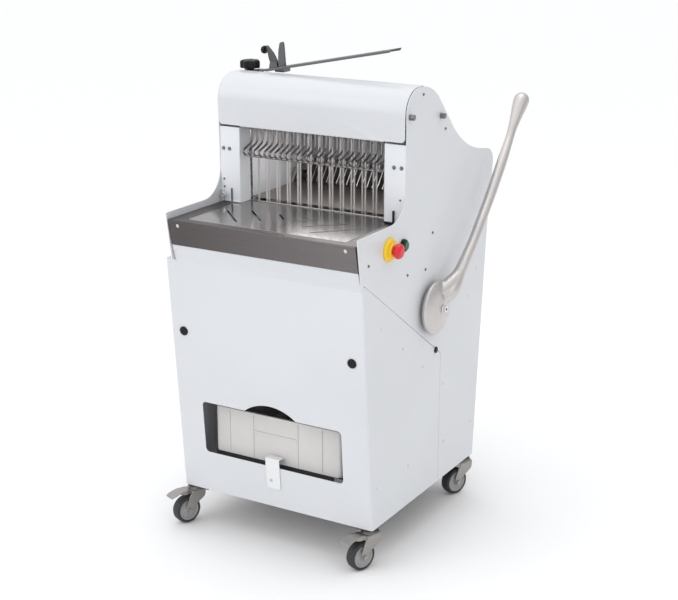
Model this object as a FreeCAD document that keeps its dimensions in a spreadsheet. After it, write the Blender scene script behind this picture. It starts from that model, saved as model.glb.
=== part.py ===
import FreeCAD, Part
import math
import os
from FreeCAD import Vector, Placement, Rotation

# Frame bread slicer on castors, millimetres.  +Z up, the operator stands on the -Y side, the hand
# lever is on the +X side.  The design coordinates have x = 0 on the cabinet's middle, y = 0 at the
# lower edge of the front cover and z = 0 on the floor; shift_x and shift_y then bring the middle of
# the machine's bounding box onto the Z axis.

doc = FreeCAD.newDocument("bread_slicer")
sheet = doc.addObject("Spreadsheet::Sheet", "Sizes")
_row = [0]


class N:
    """A number with the spreadsheet expression that it comes from."""

    def __init__(self, value, expr):
        self.v = float(value)
        self.e = expr

    def __add__(self, o):
        return N(self.v + val(o), "(%s + %s)" % (self.e, ex(o)))

    def __radd__(self, o):
        return N(val(o) + self.v, "(%s + %s)" % (ex(o), self.e))

    def __sub__(self, o):
        return N(self.v - val(o), "(%s - %s)" % (self.e, ex(o)))

    def __rsub__(self, o):
        return N(val(o) - self.v, "(%s - %s)" % (ex(o), self.e))

    def __mul__(self, o):
        return N(self.v * val(o), "(%s * %s)" % (self.e, ex(o)))

    def __rmul__(self, o):
        return N(self.v * val(o), "(%s * %s)" % (ex(o), self.e))

    def __truediv__(self, o):
        return N(self.v / val(o), "(%s / %s)" % (self.e, ex(o)))

    def __neg__(self):
        return N(-self.v, "(0 - %s)" % self.e)


def val(a):
    return a.v if isinstance(a, N) else float(a)


def ex(a):
    return a.e if isinstance(a, N) else "(%.6f)" % a


def cell(alias, value):
    """One driving dimension: a named cell of the sheet."""
    _row[0] += 1
    sheet.set("A%d" % _row[0], alias)
    sheet.set("B%d" % _row[0], str(value))
    sheet.setAlias("B%d" % _row[0], alias)
    return N(value, "Sizes." + alias)


# ---------------------------------------------------------------- driving dimensions
shift_x = cell("shift_x", -21.575)
shift_y = cell("shift_y", -352.618)
W = cell("cabinet_width", 615)
panel_z = cell("cover_bottom_height", 113)
sheet_t = cell("sheet_thickness", 2)
cheek_t = cell("cheek_thickness", 3)
cheek_lx = cell("left_cheek_outer_x", -278.5)
xc = cell("mechanism_centre_x", 15)
table_z = cell("table_height", 915)
table_half = cell("table_insert_half_width", 242.2)
open_half = cell("opening_half_width", 226)
hood_x0 = cell("hood_left_x", -274.3)
hood_x1 = cell("hood_right_x", 303.3)
frame_z = cell("base_frame_bottom", 114)
frame_h = cell("base_frame_height", 22)
plate_z = cell("castor_plate_bottom", 106)
tube = cell("tube_size", 30)
lever_y = cell("lever_pivot_y", 318)
lever_z = cell("lever_pivot_z", 656)
shaft_r = cell("shaft_radius", 12.5)
hub_r = cell("lever_hub_radius", 76.5)
arm_t = cell("swing_arm_thickness", 10)
arm_w = cell("swing_arm_width", 30)
arm_x = cell("swing_arm_offset", 262)
pitch = cell("slice_pitch", 17)
blade_t = cell("blade_thickness", 0.7)
blade_w = cell("blade_width", 9)
kf_t = cell("knife_frame_thickness", 10)
kf_y1 = cell("front_knife_frame_y", 223)
kf_y2 = cell("rear_knife_frame_y", 237)
kf_x = cell("knife_frame_half_width", 252)
kf_post = cell("knife_frame_post_width", 14)
crank_y = cell("crank_axis_y", 235)
crank_z = cell("crank_axis_z", 440)
crank_e = cell("crank_throw", 25)
pin_r = cell("crank_pin_radius", 8)
pul_r1 = cell("crank_pulley_radius", 75)
pul_r2 = cell("motor_pulley_radius", 35)
pul_w = cell("pulley_width", 20)
motor_y = cell("motor_axis_y", 485)
motor_z = cell("motor_axis_z", 206)
motor_r = cell("motor_radius", 62)
belt_t = cell("belt_thickness", 5)
tine_d = cell("comb_rod_diameter", 6)
crate_w = cell("crate_width", 408)
crate_d = cell("crate_depth", 390)
crate_h = cell("crate_height", 134)
crate_t = cell("crate_wall", 3)
wheel_r = cell("wheel_radius", 40)
wheel_w = cell("wheel_width", 31)
castor_x = cell("castor_axis_x", 287.8)
castor_y1 = cell("front_castor_axis_y", 22.7)
castor_y2 = cell("rear_castor_axis_y", 590.8)
trail = cell("castor_trail", 33)
swivel_deg = cell("castor_rest_angle", 22.1)
estop_r = cell("estop_disc_radius", 32)
button_r = cell("start_button_radius", 12)
knob_r = cell("star_knob_radius", 29)
tray_w = cell("bagging_tray_width", 60)
pin_d = cell("hood_pin_radius", 3)
doc.recompute()

SUBS = []            # (label, object)
_n = [0]


def uid(base):
    _n[0] += 1
    return "%s_%03d" % (base, _n[0])


# ---------------------------------------------------------------- building helpers
def bx(x0, x1, y0, y1, z0, z1):
    """A Part::Box between two corners; every number given as a cell stays bound to it."""
    o = doc.addObject("Part::Box", uid("Box"))
    for prop, a, b in (("Length", x0, x1), ("Width", y0, y1), ("Height", z0, z1)):
        setattr(o, prop, val(b) - val(a))
        o.setExpression(prop, "%s - %s" % (ex(b), ex(a)))
    o.Placement = Placement(Vector(val(x0), val(y0), val(z0)), Rotation())
    for c, a in zip("xyz", (x0, y0, z0)):
        if isinstance(a, N):
            o.setExpression("Placement.Base." + c, ex(a))
    return o


AX = {"x": Rotation(Vector(0, 1, 0), 90), "y": Rotation(Vector(1, 0, 0), -90), "z": Rotation()}


def cy(axis, c, r, length):
    """A Part::Cylinder from point c along +axis."""
    o = doc.addObject("Part::Cylinder", uid("Cyl"))
    o.Radius = val(r)
    o.setExpression("Radius", ex(r))
    o.Height = val(length)
    o.setExpression("Height", ex(length))
    o.Placement = Placement(Vector(*[val(q) for q in c]), AX[axis])
    for k, a in zip("xyz", c):
        if isinstance(a, N):
            o.setExpression("Placement.Base." + k, ex(a))
    return o


def fuse(*obs):
    o = doc.addObject("Part::MultiFuse", uid("Fuse"))
    o.Shapes = list(obs)
    o.Refine = True
    return o


def cut(base, *tools):
    o = doc.addObject("Part::Cut", uid("Cut"))
    o.Base = base
    o.Tool = tools[0] if len(tools) == 1 else comp(*tools)
    o.Refine = True
    return o


def comp(*obs):
    o = doc.addObject("Part::Compound", uid("Group"))
    o.Links = list(obs)
    return o


def feat(shape):
    o = doc.addObject("Part::Feature", uid("Shape"))
    o.Shape = Part.makeCompound([shape])
    return o


def sub(label, obj):
    """Name a finished sub-part and move it into the row's frame."""
    o = obj
    if obj.TypeId in ("Part::Box", "Part::Cylinder"):
        o = comp(obj)
    o.Label = label
    o.Placement = Placement(Vector(shift_x.v, shift_y.v, 0), Rotation())
    if o.TypeId != "Part::Feature":
        o.setExpression("Placement.Base.x", shift_x.e)
        o.setExpression("Placement.Base.y", shift_y.e)
    SUBS.append((label, o))
    return o


def corners(pts, closed=True):
    """Lines and tangent arcs of a polygon; a third number of a point is its corner radius."""
    n = len(pts)
    p = [(val(q[0]), val(q[1]), val(q[2]) if len(q) > 2 else 0.0) for q in pts]
    ins, outs, arcs = [], [], []
    for i in range(n):
        x, y, r = p[i]
        if r <= 0 or (not closed and i in (0, n - 1)):
            ins.append((x, y)); outs.append((x, y)); arcs.append(None)
            continue
        ax, ay, _ = p[i - 1]
        bx_, by_, _ = p[(i + 1) % n]
        u = ((ax - x), (ay - y)); v = ((bx_ - x), (by_ - y))
        lu = math.hypot(*u); lv = math.hypot(*v)
        u = (u[0] / lu, u[1] / lu); v = (v[0] / lv, v[1] / lv)
        cosang = max(-1, min(1, u[0] * v[0] + u[1] * v[1]))
        half = math.acos(cosang) / 2
        tl = r / math.tan(half)
        a = (x + u[0] * tl, y + u[1] * tl)
        b = (x + v[0] * tl, y + v[1] * tl)
        w = (u[0] + v[0], u[1] + v[1]); lw = math.hypot(*w)
        cdist = r / math.sin(half)
        c = (x + w[0] / lw * cdist, y + w[1] / lw * cdist)
        m = (c[0] - w[0] / lw * r, c[1] - w[1] / lw * r)
        ins.append(a); outs.append(b); arcs.append((a, m, b))
    res = []
    for i in range(n):
        if arcs[i]:
            res.append(("arc",) + arcs[i])
        if i == n - 1 and not closed:
            break
        a = outs[i]; b = ins[(i + 1) % n]
        if math.hypot(a[0] - b[0], a[1] - b[1]) > 1e-4:
            res.append(("line", a, b))
    return res


def geo(segs):
    g = []
    for s in segs:
        P = [Vector(q[0], q[1], 0) for q in s[1:]]
        if s[0] == "line":
            g.append(Part.LineSegment(P[0], P[1]))
        elif s[0] == "arc":
            g.append(Part.Arc(P[0], P[1], P[2]))
        else:
            g.append(Part.Circle(P[0], Vector(0, 0, 1), s[2][0]))
    return g


ROLE = {"XY": "XY_Plane", "XZ": "XZ_Plane", "YZ": "YZ_Plane"}


def plane_of(body, plane):
    for f in body.Origin.OriginFeatures:
        if f.Role == ROLE[plane]:
            return f
    raise RuntimeError("no plane " + plane)


def sketch(body, plane, loops, off):
    sk = body.newObject("Sketcher::SketchObject", uid("Sketch"))
    sk.AttachmentSupport = [(plane_of(body, plane), "")]
    sk.MapMode = "FlatFace"
    sk.AttachmentOffset = Placement(Vector(0, 0, val(off)), Rotation())
    if isinstance(off, N):
        sk.setExpression("AttachmentOffset.Base.z", ex(off))
    for lp in loops:
        if lp[0] == "circle":
            sk.addGeometry(Part.Circle(Vector(val(lp[1]), val(lp[2]), 0), Vector(0, 0, 1), val(lp[3])), False)
        elif lp[0] == "rect":
            _, u0, v0, u1, v1 = lp
            q = [(u0, v0), (u1, v0), (u1, v1), (u0, v1)]
            base = sk.GeometryCount
            for i in range(4):
                a, b = q[i], q[(i + 1) % 4]
                sk.addGeometry(Part.LineSegment(Vector(val(a[0]), val(a[1]), 0), Vector(val(b[0]), val(b[1]), 0)), False)
        else:
            sk.addGeometry(geo(corners(lp)), False)
    return sk


def pad(plane, pts, off, length, holes=()):
    """A PartDesign::Body with one pad: plane XY, XZ or YZ, off along the plane's axis.

    On XZ the pad starts at y = off and grows towards +Y; on YZ it grows towards +X, on XY to +Z.
    """
    body = doc.addObject("PartDesign::Body", uid("Body"))
    o = -off if plane == "XZ" else off
    sk = sketch(body, plane, [pts] + list(holes), o)
    p = body.newObject("PartDesign::Pad", uid("Pad"))
    p.Profile = sk
    p.Length = val(length)
    p.setExpression("Length", ex(length))
    if plane == "XZ":
        p.Reversed = True
    body.Tip = p
    return body


def offset_path(pts, t):
    """The same open path moved to its left by t, with matching corner radii."""
    p = [(val(q[0]), val(q[1]), val(q[2]) if len(q) > 2 else 0.0) for q in pts]
    n = len(p)
    nor = []
    for i in range(n - 1):
        dx, dy = p[i + 1][0] - p[i][0], p[i + 1][1] - p[i][1]
        ln = math.hypot(dx, dy)
        nor.append((-dy / ln, dx / ln))
    out = []
    for i in range(n):
        if i == 0:
            a = nor[0]; out.append((p[0][0] + a[0] * t, p[0][1] + a[1] * t, 0)); continue
        if i == n - 1:
            a = nor[-1]; out.append((p[i][0] + a[0] * t, p[i][1] + a[1] * t, 0)); continue
        a, b = nor[i - 1], nor[i]
        k = t / (1 + a[0] * b[0] + a[1] * b[1])
        turn = a[0] * b[1] - a[1] * b[0]
        r = p[i][2]
        r2 = 0 if r == 0 else (r - t if turn > 0 else r + t)
        out.append((p[i][0] + (a[0] + b[0]) * k, p[i][1] + (a[1] + b[1]) * k, max(r2, 0.2) if r else 0))
    return out


def strip(pts, t):
    """Closed outline of a folded sheet: the path and its offset."""
    return list(pts) + list(reversed(offset_path(pts, t)))


def rodpath(points, d):
    """A round rod along straight runs joined by tangent arcs; points are (x, y, z, bend radius)."""
    n = len(points)
    P = [Vector(*[val(c) for c in q[:3]]) for q in points]
    R = [val(q[3]) if len(q) > 3 else 0 for q in points]
    edges = []
    last = P[0]
    for i in range(1, n):
        if i < n - 1 and R[i] > 0:
            u = (P[i - 1] - P[i]).normalize(); v = (P[i + 1] - P[i]).normalize()
            half = u.getAngle(v) / 2
            tl = R[i] / math.tan(half)
            a = P[i] + u * tl; b = P[i] + v * tl
            w = (u + v).normalize()
            m = P[i] + w * (R[i] / math.sin(half) - R[i])
            edges.append(Part.LineSegment(last, a).toShape())
            edges.append(Part.Arc(a, m, b).toShape())
            last = b
        else:
            edges.append(Part.LineSegment(last, P[i]).toShape())
            last = P[i]
    wire = Part.Wire(edges)
    d0 = (P[1] - P[0]).normalize()
    prof = Part.Wire([Part.makeCircle(val(d) / 2, P[0], d0)])
    return wire.makePipeShell([prof], True, False)


def prism(pts, axis_off, length, plane="YZ"):
    """A plain extruded outline used as a cutting tool or inside a compound shape."""
    g = [s.toShape() for s in geo(corners(pts))]
    f = Part.Face(Part.Wire(Part.__sortEdges__(g)))
    if plane == "YZ":
        f = f.transformGeometry(FreeCAD.Matrix(0, 0, 1, axis_off, 1, 0, 0, 0, 0, 1, 0, 0, 0, 0, 0, 1))
        return f.extrude(Vector(length, 0, 0))
    if plane == "XZ":
        f = f.transformGeometry(FreeCAD.Matrix(1, 0, 0, 0, 0, 0, 1, axis_off, 0, 1, 0, 0, 0, 0, 0, 1))
        return f.extrude(Vector(0, length, 0))
    f.translate(Vector(0, 0, axis_off))
    return f.extrude(Vector(0, 0, length))


def fillet(base, r, pick):
    """A Part::Fillet on the edges whose middle point satisfies pick."""
    doc.recompute()
    ed = []
    for i, e in enumerate(base.Shape.Edges):
        m = e.valueAt((e.FirstParameter + e.LastParameter) / 2)
        if pick(e, m):
            ed.append((i + 1, val(r), val(r)))
    o = doc.addObject("Part::Fillet", uid("Fillet"))
    o.Base = base
    o.Edges = ed
    doc.recompute()
    if o.Shape.isNull() or not o.Shape.isValid():
        print("fillet failed on", base.Name, len(ed))
        doc.removeObject(o.Name)
        return base
    return o


X0 = -W / 2
X1 = W / 2
cheek_rx = X1 - cheek_t                    # inner face of the right cheek
cheek_li = cheek_lx + cheek_t              # inner face of the left cheek
LEAN = 55.5 / 684.0                        # the front cover leans forward going up


def front_y(z):
    return -LEAN * (z - 113.0)


# ---------------------------------------------------------------- base frame
ring = cut(bx(-303, 303, 8, 607, frame_z, frame_z + frame_h), bx(-273, 273, 38, 577, 90, 160))
chan = cut(bx(-300, 300, 11, 604, 90, frame_z + frame_h - 3), bx(-276, 276, 35, 580, 80, 160))
base = cut(ring, chan)
parts = [base]
for sx in (-1, 1):
    for (y0, y1) in ((8, 78), (537, 607)):
        parts.append(bx(min(sx * 233, sx * 303), max(sx * 233, sx * 303), y0, y1, plate_z, frame_z + 4))
parts.append(bx(-274, 274, 216, 256, frame_z + frame_h - 6, frame_z + frame_h))
parts.append(bx(-274, 274, 415, 560, frame_z + frame_h - 4, frame_z + frame_h))
for a, b in ((-274, -246), (246, 274)):
    parts.append(cut(bx(a, b, 221, 251, 130, 476), bx(a + 2.5, b - 2.5, 223.5, 248.5, 136, 480)))
base = fuse(*parts)
holes = []
for sx in (-1, 1):
    for yy in (castor_y1, castor_y2):
        holes.append(cy("z", (sx * castor_x, yy, 90), 6.4, 60))
sub("base_frame", cut(base, *holes))

# stems: flange, threaded stem and nut of each castor
stems = []
for sx in (-1, 1):
    for yy in (castor_y1, castor_y2):
        f = cy("z", (sx * castor_x, yy, plate_z - 2), 20, 2)
        s = cy("z", (sx * castor_x, yy, plate_z - 2), 6, 46)
        hexa = doc.addObject("Part::Prism", uid("Nut"))
        hexa.Polygon = 6
        hexa.Circumradius = 10.3
        hexa.Height = 9
        hexa.Placement = Placement(Vector(sx * castor_x.v, yy.v, frame_z.v + frame_h.v), Rotation(Vector(0, 0, 1), 30))
        stems.append(fuse(f, s, hexa))
sub("castor_stems", comp(*stems))

# ---------------------------------------------------------------- side panels
cheek_top = [(-66, 800), (-87.5, 932.5, 5), (170, 932.5, 82), (163.5, 1266.5, 66), (308, 1266.5, 148),
             (503, 1066, 330), (706, 1030.5, 42), (673, 800)]
right_pts = cheek_top + [(615, panel_z), (386, panel_z), (386, 503), (-50, 806)]
rp = pad("YZ", right_pts, cheek_rx, cheek_t,
         holes=[("circle", lever_y, lever_z, 14.5), ("circle", 76, 872, 11.6), ("circle", 151, 867, 12.6)])
sub("right_side_panel", rp)
left_pts = cheek_top + [(617, 137), (6, 137), (-48.5, 797)]
sub("left_side_panel", pad("YZ", left_pts, cheek_lx, cheek_t))

# ---------------------------------------------------------------- lower cover, one folded sheet
body = doc.addObject("PartDesign::Body", uid("Body"))
deep = 700
u_out = [(X0, 0, 8), (X1, 0, 8), (X1, deep), (X1 - sheet_t, deep), (X1 - sheet_t, sheet_t, 6), (X0 + sheet_t, sheet_t, 6), (X0 + sheet_t, deep), (X0, deep)]
sk = sketch(body, "XY", [u_out], panel_z)
pd = body.newObject("PartDesign::Pad", uid("Pad"))
pd.Profile = sk
pd.UseCustomVector = True
pd.Direction = Vector(0, -LEAN, 1)
pd.AlongSketchNormal = True
pd.Length = 806 - panel_z.v
pd.setExpression("Length", "806 - Sizes.cover_bottom_height")
body.Tip = pd
# the wings end on the seam of the right side panel and on the rear edge of the left one
trim_r = pad("YZ", [(384.5, 0), (384.5, 502.2), (-50, 804.0), (-70, 817.5), (-70, 900), (900, 900), (900, 0)], 296, 20)
trim_l = pad("YZ", [(613, 0), (613, 113), (670, 797), (670, 900), (900, 900), (900, 0)], -320, 20)
trim_t = bx(-320, 299, -80, 720, 797, 900)
lip = pad("YZ", [(front_y(797), 796), (-68.4, 841.4), (-66.4, 841.9), (front_y(797) + 2, 796)], -273.8, 577)
tf = pad("XY", [(X0 + 0.5, -48), (-279.2, -48), (-279.2, 668), (X0 + 0.5, 668)], 795, sheet_t)
cover = fuse(cut(body, trim_r, trim_l, trim_t), lip, tf)
R_s = (82.0 ** 2 + 28.6 ** 2) / (2 * 28.6)
win = prism([(-223, 235, 13), (223, 235, 13), (223, 388.5, 13), (-223, 388.5, 13)], -100, 140, "XZ")
sc = Part.makeCylinder(R_s, 140, Vector(0, -100, 388.5 + 28.6 - R_s), Vector(0, 1, 0))
sc = sc.common(Part.makeBox(600, 200, 80, Vector(-300, -110, 370)))
wincut = feat(win.fuse(sc))
sub("front_cover", cut(cover, wincut))

# quarter-turn locks with round black heads: two on the front, one on the right side
locks = []
for sx in (-1, 1):
    c = Part.makeCylinder(13, 4, Vector(0, 0, 0), Vector(0, 0, 1))
    c = c.makeFillet(1.5, [e for e in c.Edges if abs(e.BoundBox.ZMax - 4) < 1e-3 and abs(e.BoundBox.ZMin - 4) < 1e-3])
    n = Vector(0, -1, -LEAN).normalize()
    c.Placement = Placement(Vector(sx * 265.5, front_y(592), 592), Rotation(Vector(0, 0, 1), n))
    locks.append(c)
c = Part.makeCylinder(9, 4, Vector(X1.v, 354, 520.5), Vector(1, 0, 0))
locks.append(c)
sub("cover_locks", feat(Part.makeCompound(locks)))

# ---------------------------------------------------------------- rear panel, closing the cabinet's back
sub("rear_panel", pad("YZ", [(613.5, 137), (617, 137), (617 + 0.0843 * 763, 900), (611.5 + 0.0843 * 763, 900), (611.5 + 0.0843 * 763, 898), (612, 139)][:2]
                      + [(617 + 0.0843 * 763 - 3, 900), (617 + 0.0843 * 763 - 5, 900), (611.5, 137)],
                      cheek_li + 0.2, cheek_rx - cheek_li - 0.4))

# ---------------------------------------------------------------- table
tx0, tx1 = -271.5, 300.5
top = bx(tx0, tx1, -86.0, 219, table_z - sheet_t, table_z)
apron = pad("YZ", [(-86.5, table_z), (-71, 843), (-63, 842.6), (-63, 844.2), (-69.2, 844.6), (-84.4, table_z - sheet_t), (-84, table_z)], tx0, tx1 - tx0)
tf0 = fuse(top, apron)
ins = comp(bx(xc - table_half - 1.5, xc + table_half + 1.5, -58.5, 154.5, 880, 940), bx(-212, 242, 150, 215, 880, 940))
sub("table_frame", cut(tf0, ins))

slots = []
for (a, b) in (((-211, 80), (-113, -18)), ((-150, 110), (-65, 25)), ((-62, 112), (-22, 70))):
    for s in (1, -1):
        x0_, y0_ = s * a[0] + xc.v, a[1]
        x1_, y1_ = s * b[0] + xc.v, b[1]
        ln = math.hypot(x1_ - x0_, y1_ - y0_)
        ang = math.degrees(math.atan2(y1_ - y0_, x1_ - x0_))
        sh = prism([(0, -2.8, 2.7), (ln, -2.8, 2.7), (ln, 2.8, 2.7), (0, 2.8, 2.7)], 0, 20, "XY")
        sh.Placement = Placement(Vector(x0_, y0_, 905), Rotation(Vector(0, 0, 1), ang))
        slots.append(sh)
ti = pad("XY", [(xc - table_half, -57, 6), (xc + table_half, -57, 6), (xc + table_half, 153, 2), (240.5, 153), (240.5, 213.5, 2), (-210.5, 213.5, 2),
                (-210.5, 153), (xc - table_half, 153, 2)],
         table_z - sheet_t, sheet_t)
sub("table_insert", cut(ti, feat(Part.makeCompound(slots))))

ld = pad("YZ", [(254, table_z - sheet_t), (640, table_z - sheet_t), (640, table_z + 16), (638, table_z + 16), (638, table_z), (254, table_z)],
         xc - 248, 496)
sub("loading_deck", ld)

sft = cut(bx(cheek_li, cheek_rx, 180, 210, 883, 883 + tube), bx(-280, 310, 182.5, 207.5, 885.5, 910.5))
srt = cut(bx(cheek_li, cheek_rx, 565, 595, 883, 883 + tube), bx(-280, 310, 567.5, 592.5, 885.5, 910.5))
rl = bx(xc - 232, xc - 212, 210, 565, 898, 913)
rr = bx(xc + 212, xc + 232, 210, 565, 898, 913)
sub("deck_subframe", fuse(sft, srt, rl, rr))

# ---------------------------------------------------------------- uprights beside the blade opening
jl = fuse(bx(cheek_li + 0.3, xc - open_half, 168, 168 + sheet_t, table_z + 0.3, 1126),
          bx(xc - open_half - sheet_t, xc - open_half, 168, 219, table_z + 0.3, 1126),
          bx(xc - open_half - sheet_t, xc - open_half, 178, 219, 1120, 1235))
jr = fuse(bx(xc + open_half, cheek_rx - 0.3, 168, 168 + sheet_t, table_z + 0.3, 1126),
          bx(xc + open_half, xc + open_half + sheet_t, 168, 219, table_z + 0.3, 1126),
          bx(xc + open_half, xc + open_half + sheet_t, 178, 219, 1120, 1235))
sub("opening_jambs", comp(jl, jr))

# ---------------------------------------------------------------- hood and rear top cover
hpath = [(176, 1130.2), (162, 1130.2, 3), (162, 1268, 68.5), (264.2, 1268)]
hood = pad("YZ", strip(hpath, -2.0), hood_x0, hood_x1 - hood_x0)
ears = []
HA = (262.0, 1261.0)
for (a, b) in ((-272.0, -269.0), (298.0, 301.0)):
    e = fuse(cy("x", (a, HA[0], HA[1]), 6.5, b - a), bx(a, b, 240, 262, 1255, 1267))
    ears.append(cut(e, cy("x", (a - 5, HA[0], HA[1]), pin_d + 0.06, 20)))
hood = fuse(hood, *ears)
nick = []
for (xa, s_) in ((hood_x0.v, 1), (hood_x1.v, -1)):
    q_ = Part.makeBox(13, 20, 13, Vector(min(xa, xa + s_ * 12) - (1 if s_ > 0 else 0), 158, 1129.2))
    nick.append(q_.cut(Part.makeCylinder(12, 30, Vector(xa + s_ * 12, 155, 1142.2), Vector(0, 1, 0))))
hood = cut(hood, feat(Part.makeCompound(nick)), bx(-280, -206, 164, 180, 1129, 1133), bx(241, 310, 164, 180, 1129, 1133))
sub("hood_cover", hood)
LA = (434.5, 1131.5)
sub("hinge_pins", comp(*[cy("x", (q_, h_[0], h_[1]), pin_d, 14) for h_ in (HA, LA) for q_ in (cheek_li, cheek_rx - 14)]))

cpath = offset_path([(200, 1266.5), (308, 1266.5, 148), (503, 1066)], -1.0)[:2] + [(425, 1144.9)]
trc = pad("YZ", strip(cpath, -2.0), cheek_li + 0.3, cheek_rx - cheek_li - 0.6)
sub("top_rear_cover", cut(trc, bx(-300, 320, 150, 270.2, 1200, 1300)))

# rear lid over the loading bay, hung on two pins
LA = (434.5, 1131.5)
lpath = offset_path([(308, 1266.5), (503, 1066, 330), (706, 1030.5, 42), (673, 800)], -1.5)
lpath = [lpath[0], lpath[1], lpath[2], (687.3 - 1.5, 903)]
lid = pad("YZ", strip(lpath, -2.0), cheek_li + 0.6, cheek_rx - cheek_li - 1.2)
lid = cut(lid, bx(-300, 320, 150, 432.5, 1000, 1300), cy("x", (cheek_li - 2, LA[0], LA[1]), pin_d + 1, 17), cy("x", (cheek_rx - 15, LA[0], LA[1]), pin_d + 1, 17))
le = []
for (a, b) in ((-272.0, -269.0), (298.0, 301.0)):
    le.append(cut(fuse(cy("x", (a, LA[0], LA[1]), 5.5, b - a), bx(a, b, 433, 445, 1128, 1136)), cy("x", (a - 5, LA[0], LA[1]), pin_d + 0.06, 20)))
lid_grip = pad("YZ", [(688.6, 925), (711, 925, 5), (711, 943, 5), (690.6, 943), (690.6, 940), (707, 940, 2), (707, 928, 2), (688.6, 928)], xc - 60, 120)
sub("rear_lid", fuse(lid, lid_grip, *le))

# ---------------------------------------------------------------- hand lever, shaft and pusher
PY, PZ = lever_y.v, lever_z.v
prof = [(311.5, 0), (311.5, 62), (317, 72, 5), (325, 76.5, 5), (331, 75, 4), (338, 60, 16), (342, 42, 14), (343.5, 28, 6), (345.5, 24, 2), (346, 0)]
g = [s.toShape() for s in geo(corners([(a, b) + ((c[0],) if c else ()) for a, b, *c in prof]))]
f = Part.Face(Part.Wire(Part.__sortEdges__(g)))
dome = f.revolve(Vector(0, 0, 0), Vector(1, 0, 0), 360)
dome.translate(Vector(0, PY, PZ))
sec = [(326, 662, 13, 326.5), (362.6, 696.4, 24, 345), (400.2, 739.5, 17.2, 353), (424.4, 768.7, 15.3, 357), (464, 808.4, 14.1, 359.2),
       (498, 843.8, 13.9, 359.5), (565, 913.2, 14.3, 359.5), (631.1, 989.3, 14.6, 359.5), (661, 1025.5, 14.0, 359.5), (687.8, 1058.9, 12.5, 359.5),
       (701.5, 1077.8, 12.1, 359.5), (714.2, 1095.5, 13.1, 359.5), (731, 1117, 15.8, 359.5), (751, 1142.5, 20.0, 359.5), (762, 1156.2, 22.1, 359.5),
       (769.4, 1165.2, 22.7, 359.5)]
wires = []
for i, (y, z, r, x) in enumerate(sec):
    q0 = sec[max(0, i - 1)]
    q1 = sec[min(len(sec) - 1, i + 1)]
    ud = Vector(q1[3] - q0[3], q1[0] - q0[0], q1[1] - q0[1]).normalize()
    wires.append(Part.Wire([Part.makeCircle(r, Vector(x, y, z), ud)]))
arm = Part.makeLoft(wires, True, False)
ball = Part.makeSphere(22.7, Vector(359.5, 769.4, 1165.2))
lev = dome.fuse([arm, ball])
hole = Part.makeCylinder(shaft_r.v, 60, Vector(300, PY, PZ), Vector(1, 0, 0))
lev = lev.cut(hole.common(Part.makeBox(41, 80, 80, Vector(300, PY - 40, PZ - 40))))
# the bolt's seat on the outer face of the hub
lev = lev.cut(Part.makeCylinder(13, 40, Vector(346.5, PY, PZ), Vector(1, 0, 0)))
lev = lev.cut(Part.makeCylinder(6, 40, Vector(330, PY, PZ), Vector(1, 0, 0)))
sub("hand_lever", feat(lev))

hexb = doc.addObject("Part::Prism", uid("Hex"))
hexb.Polygon = 6
hexb.Circumradius = 10
hexb.Height = 8
hexb.Placement = Placement(Vector(348.5, PY, PZ), Rotation(Vector(0, 1, 0), 90))
sub("lever_shaft", fuse(cy("x", (cheek_li + 0.5, lever_y, lever_z), shaft_r, 341 - cheek_li - 0.5),
                        cy("x", (330, lever_y, lever_z), 6, 20), cy("x", (346.5, lever_y, lever_z), 12, 2), hexb))

TH0 = 38.0                                     # the arms lean back at rest


def rt(rho, tau, th=TH0):
    """Point of the swinging parts from its radius and its forward distance, at rest."""
    a = math.radians(th)
    return (PY + rho * math.sin(a) - tau * math.cos(a), PZ + rho * math.cos(a) + tau * math.sin(a))


arms = []
for s in (-1, 1):
    x0_ = xc + s * arm_x if s > 0 else xc - arm_x - arm_t
    hw = arm_w.v / 2
    outline = [rt(-20, hw, TH0) + (14,), rt(-20, -hw, TH0) + (14,), rt(392, -34) + (3,), rt(392, -8) + (3,), rt(360, hw) + (10,)]
    a_ = pad("YZ", outline, x0_, arm_t)
    b_ = cy("x", (x0_, lever_y, lever_z), 24, arm_t)
    arms.append(cut(fuse(a_, b_), cy("x", (x0_ - 5, lever_y, lever_z), shaft_r, 30)))

beam = pad("YZ", [rt(366, -32), rt(390, -32), rt(390, -12), rt(366, -12)], xc - arm_x, arm_x * 2)
tines = [beam]
tin = [rt(344, -14) + (3,), rt(390, -14), rt(404, 2) + (8,), rt(404, 26) + (6,), rt(313, 26) + (3,)]
tshape = []
for i in range(26):
    x = xc.v + pitch.v * (i - 12.5)
    tshape.append(prism(tin, x - 1.25, 2.5, "YZ"))
tshape = feat(Part.makeCompound(tshape))
sub("pusher_comb", fuse(beam, tshape, *arms))

# ---------------------------------------------------------------- knife frames and blades
for nm, ky, ids in (("front", kf_y1, range(0, 25, 2)), ("rear", kf_y2, range(1, 25, 2))):
    pl = bx(xc - kf_x, xc - kf_x + kf_post, ky, ky + kf_t, 780, 1185)
    pr = bx(xc + kf_x - kf_post, xc + kf_x, ky, ky + kf_t, 780, 1185)
    tb = bx(xc - kf_x, xc + kf_x, ky, ky + kf_t, 1165, 1185)
    bb = bx(xc - kf_x, xc + kf_x, ky, ky + kf_t, 840, 860)
    sub(nm + "_knife_frame", fuse(pl, pr, tb, bb))
    bl = []
    for i in ids:
        x = xc + pitch * (i - 12)
        bl.append(bx(x - blade_t / 2, x + blade_t / 2, ky + 0.5, ky + 0.5 + blade_w, 860, 1165))
    sub(nm + "_blades", comp(*bl))

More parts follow.
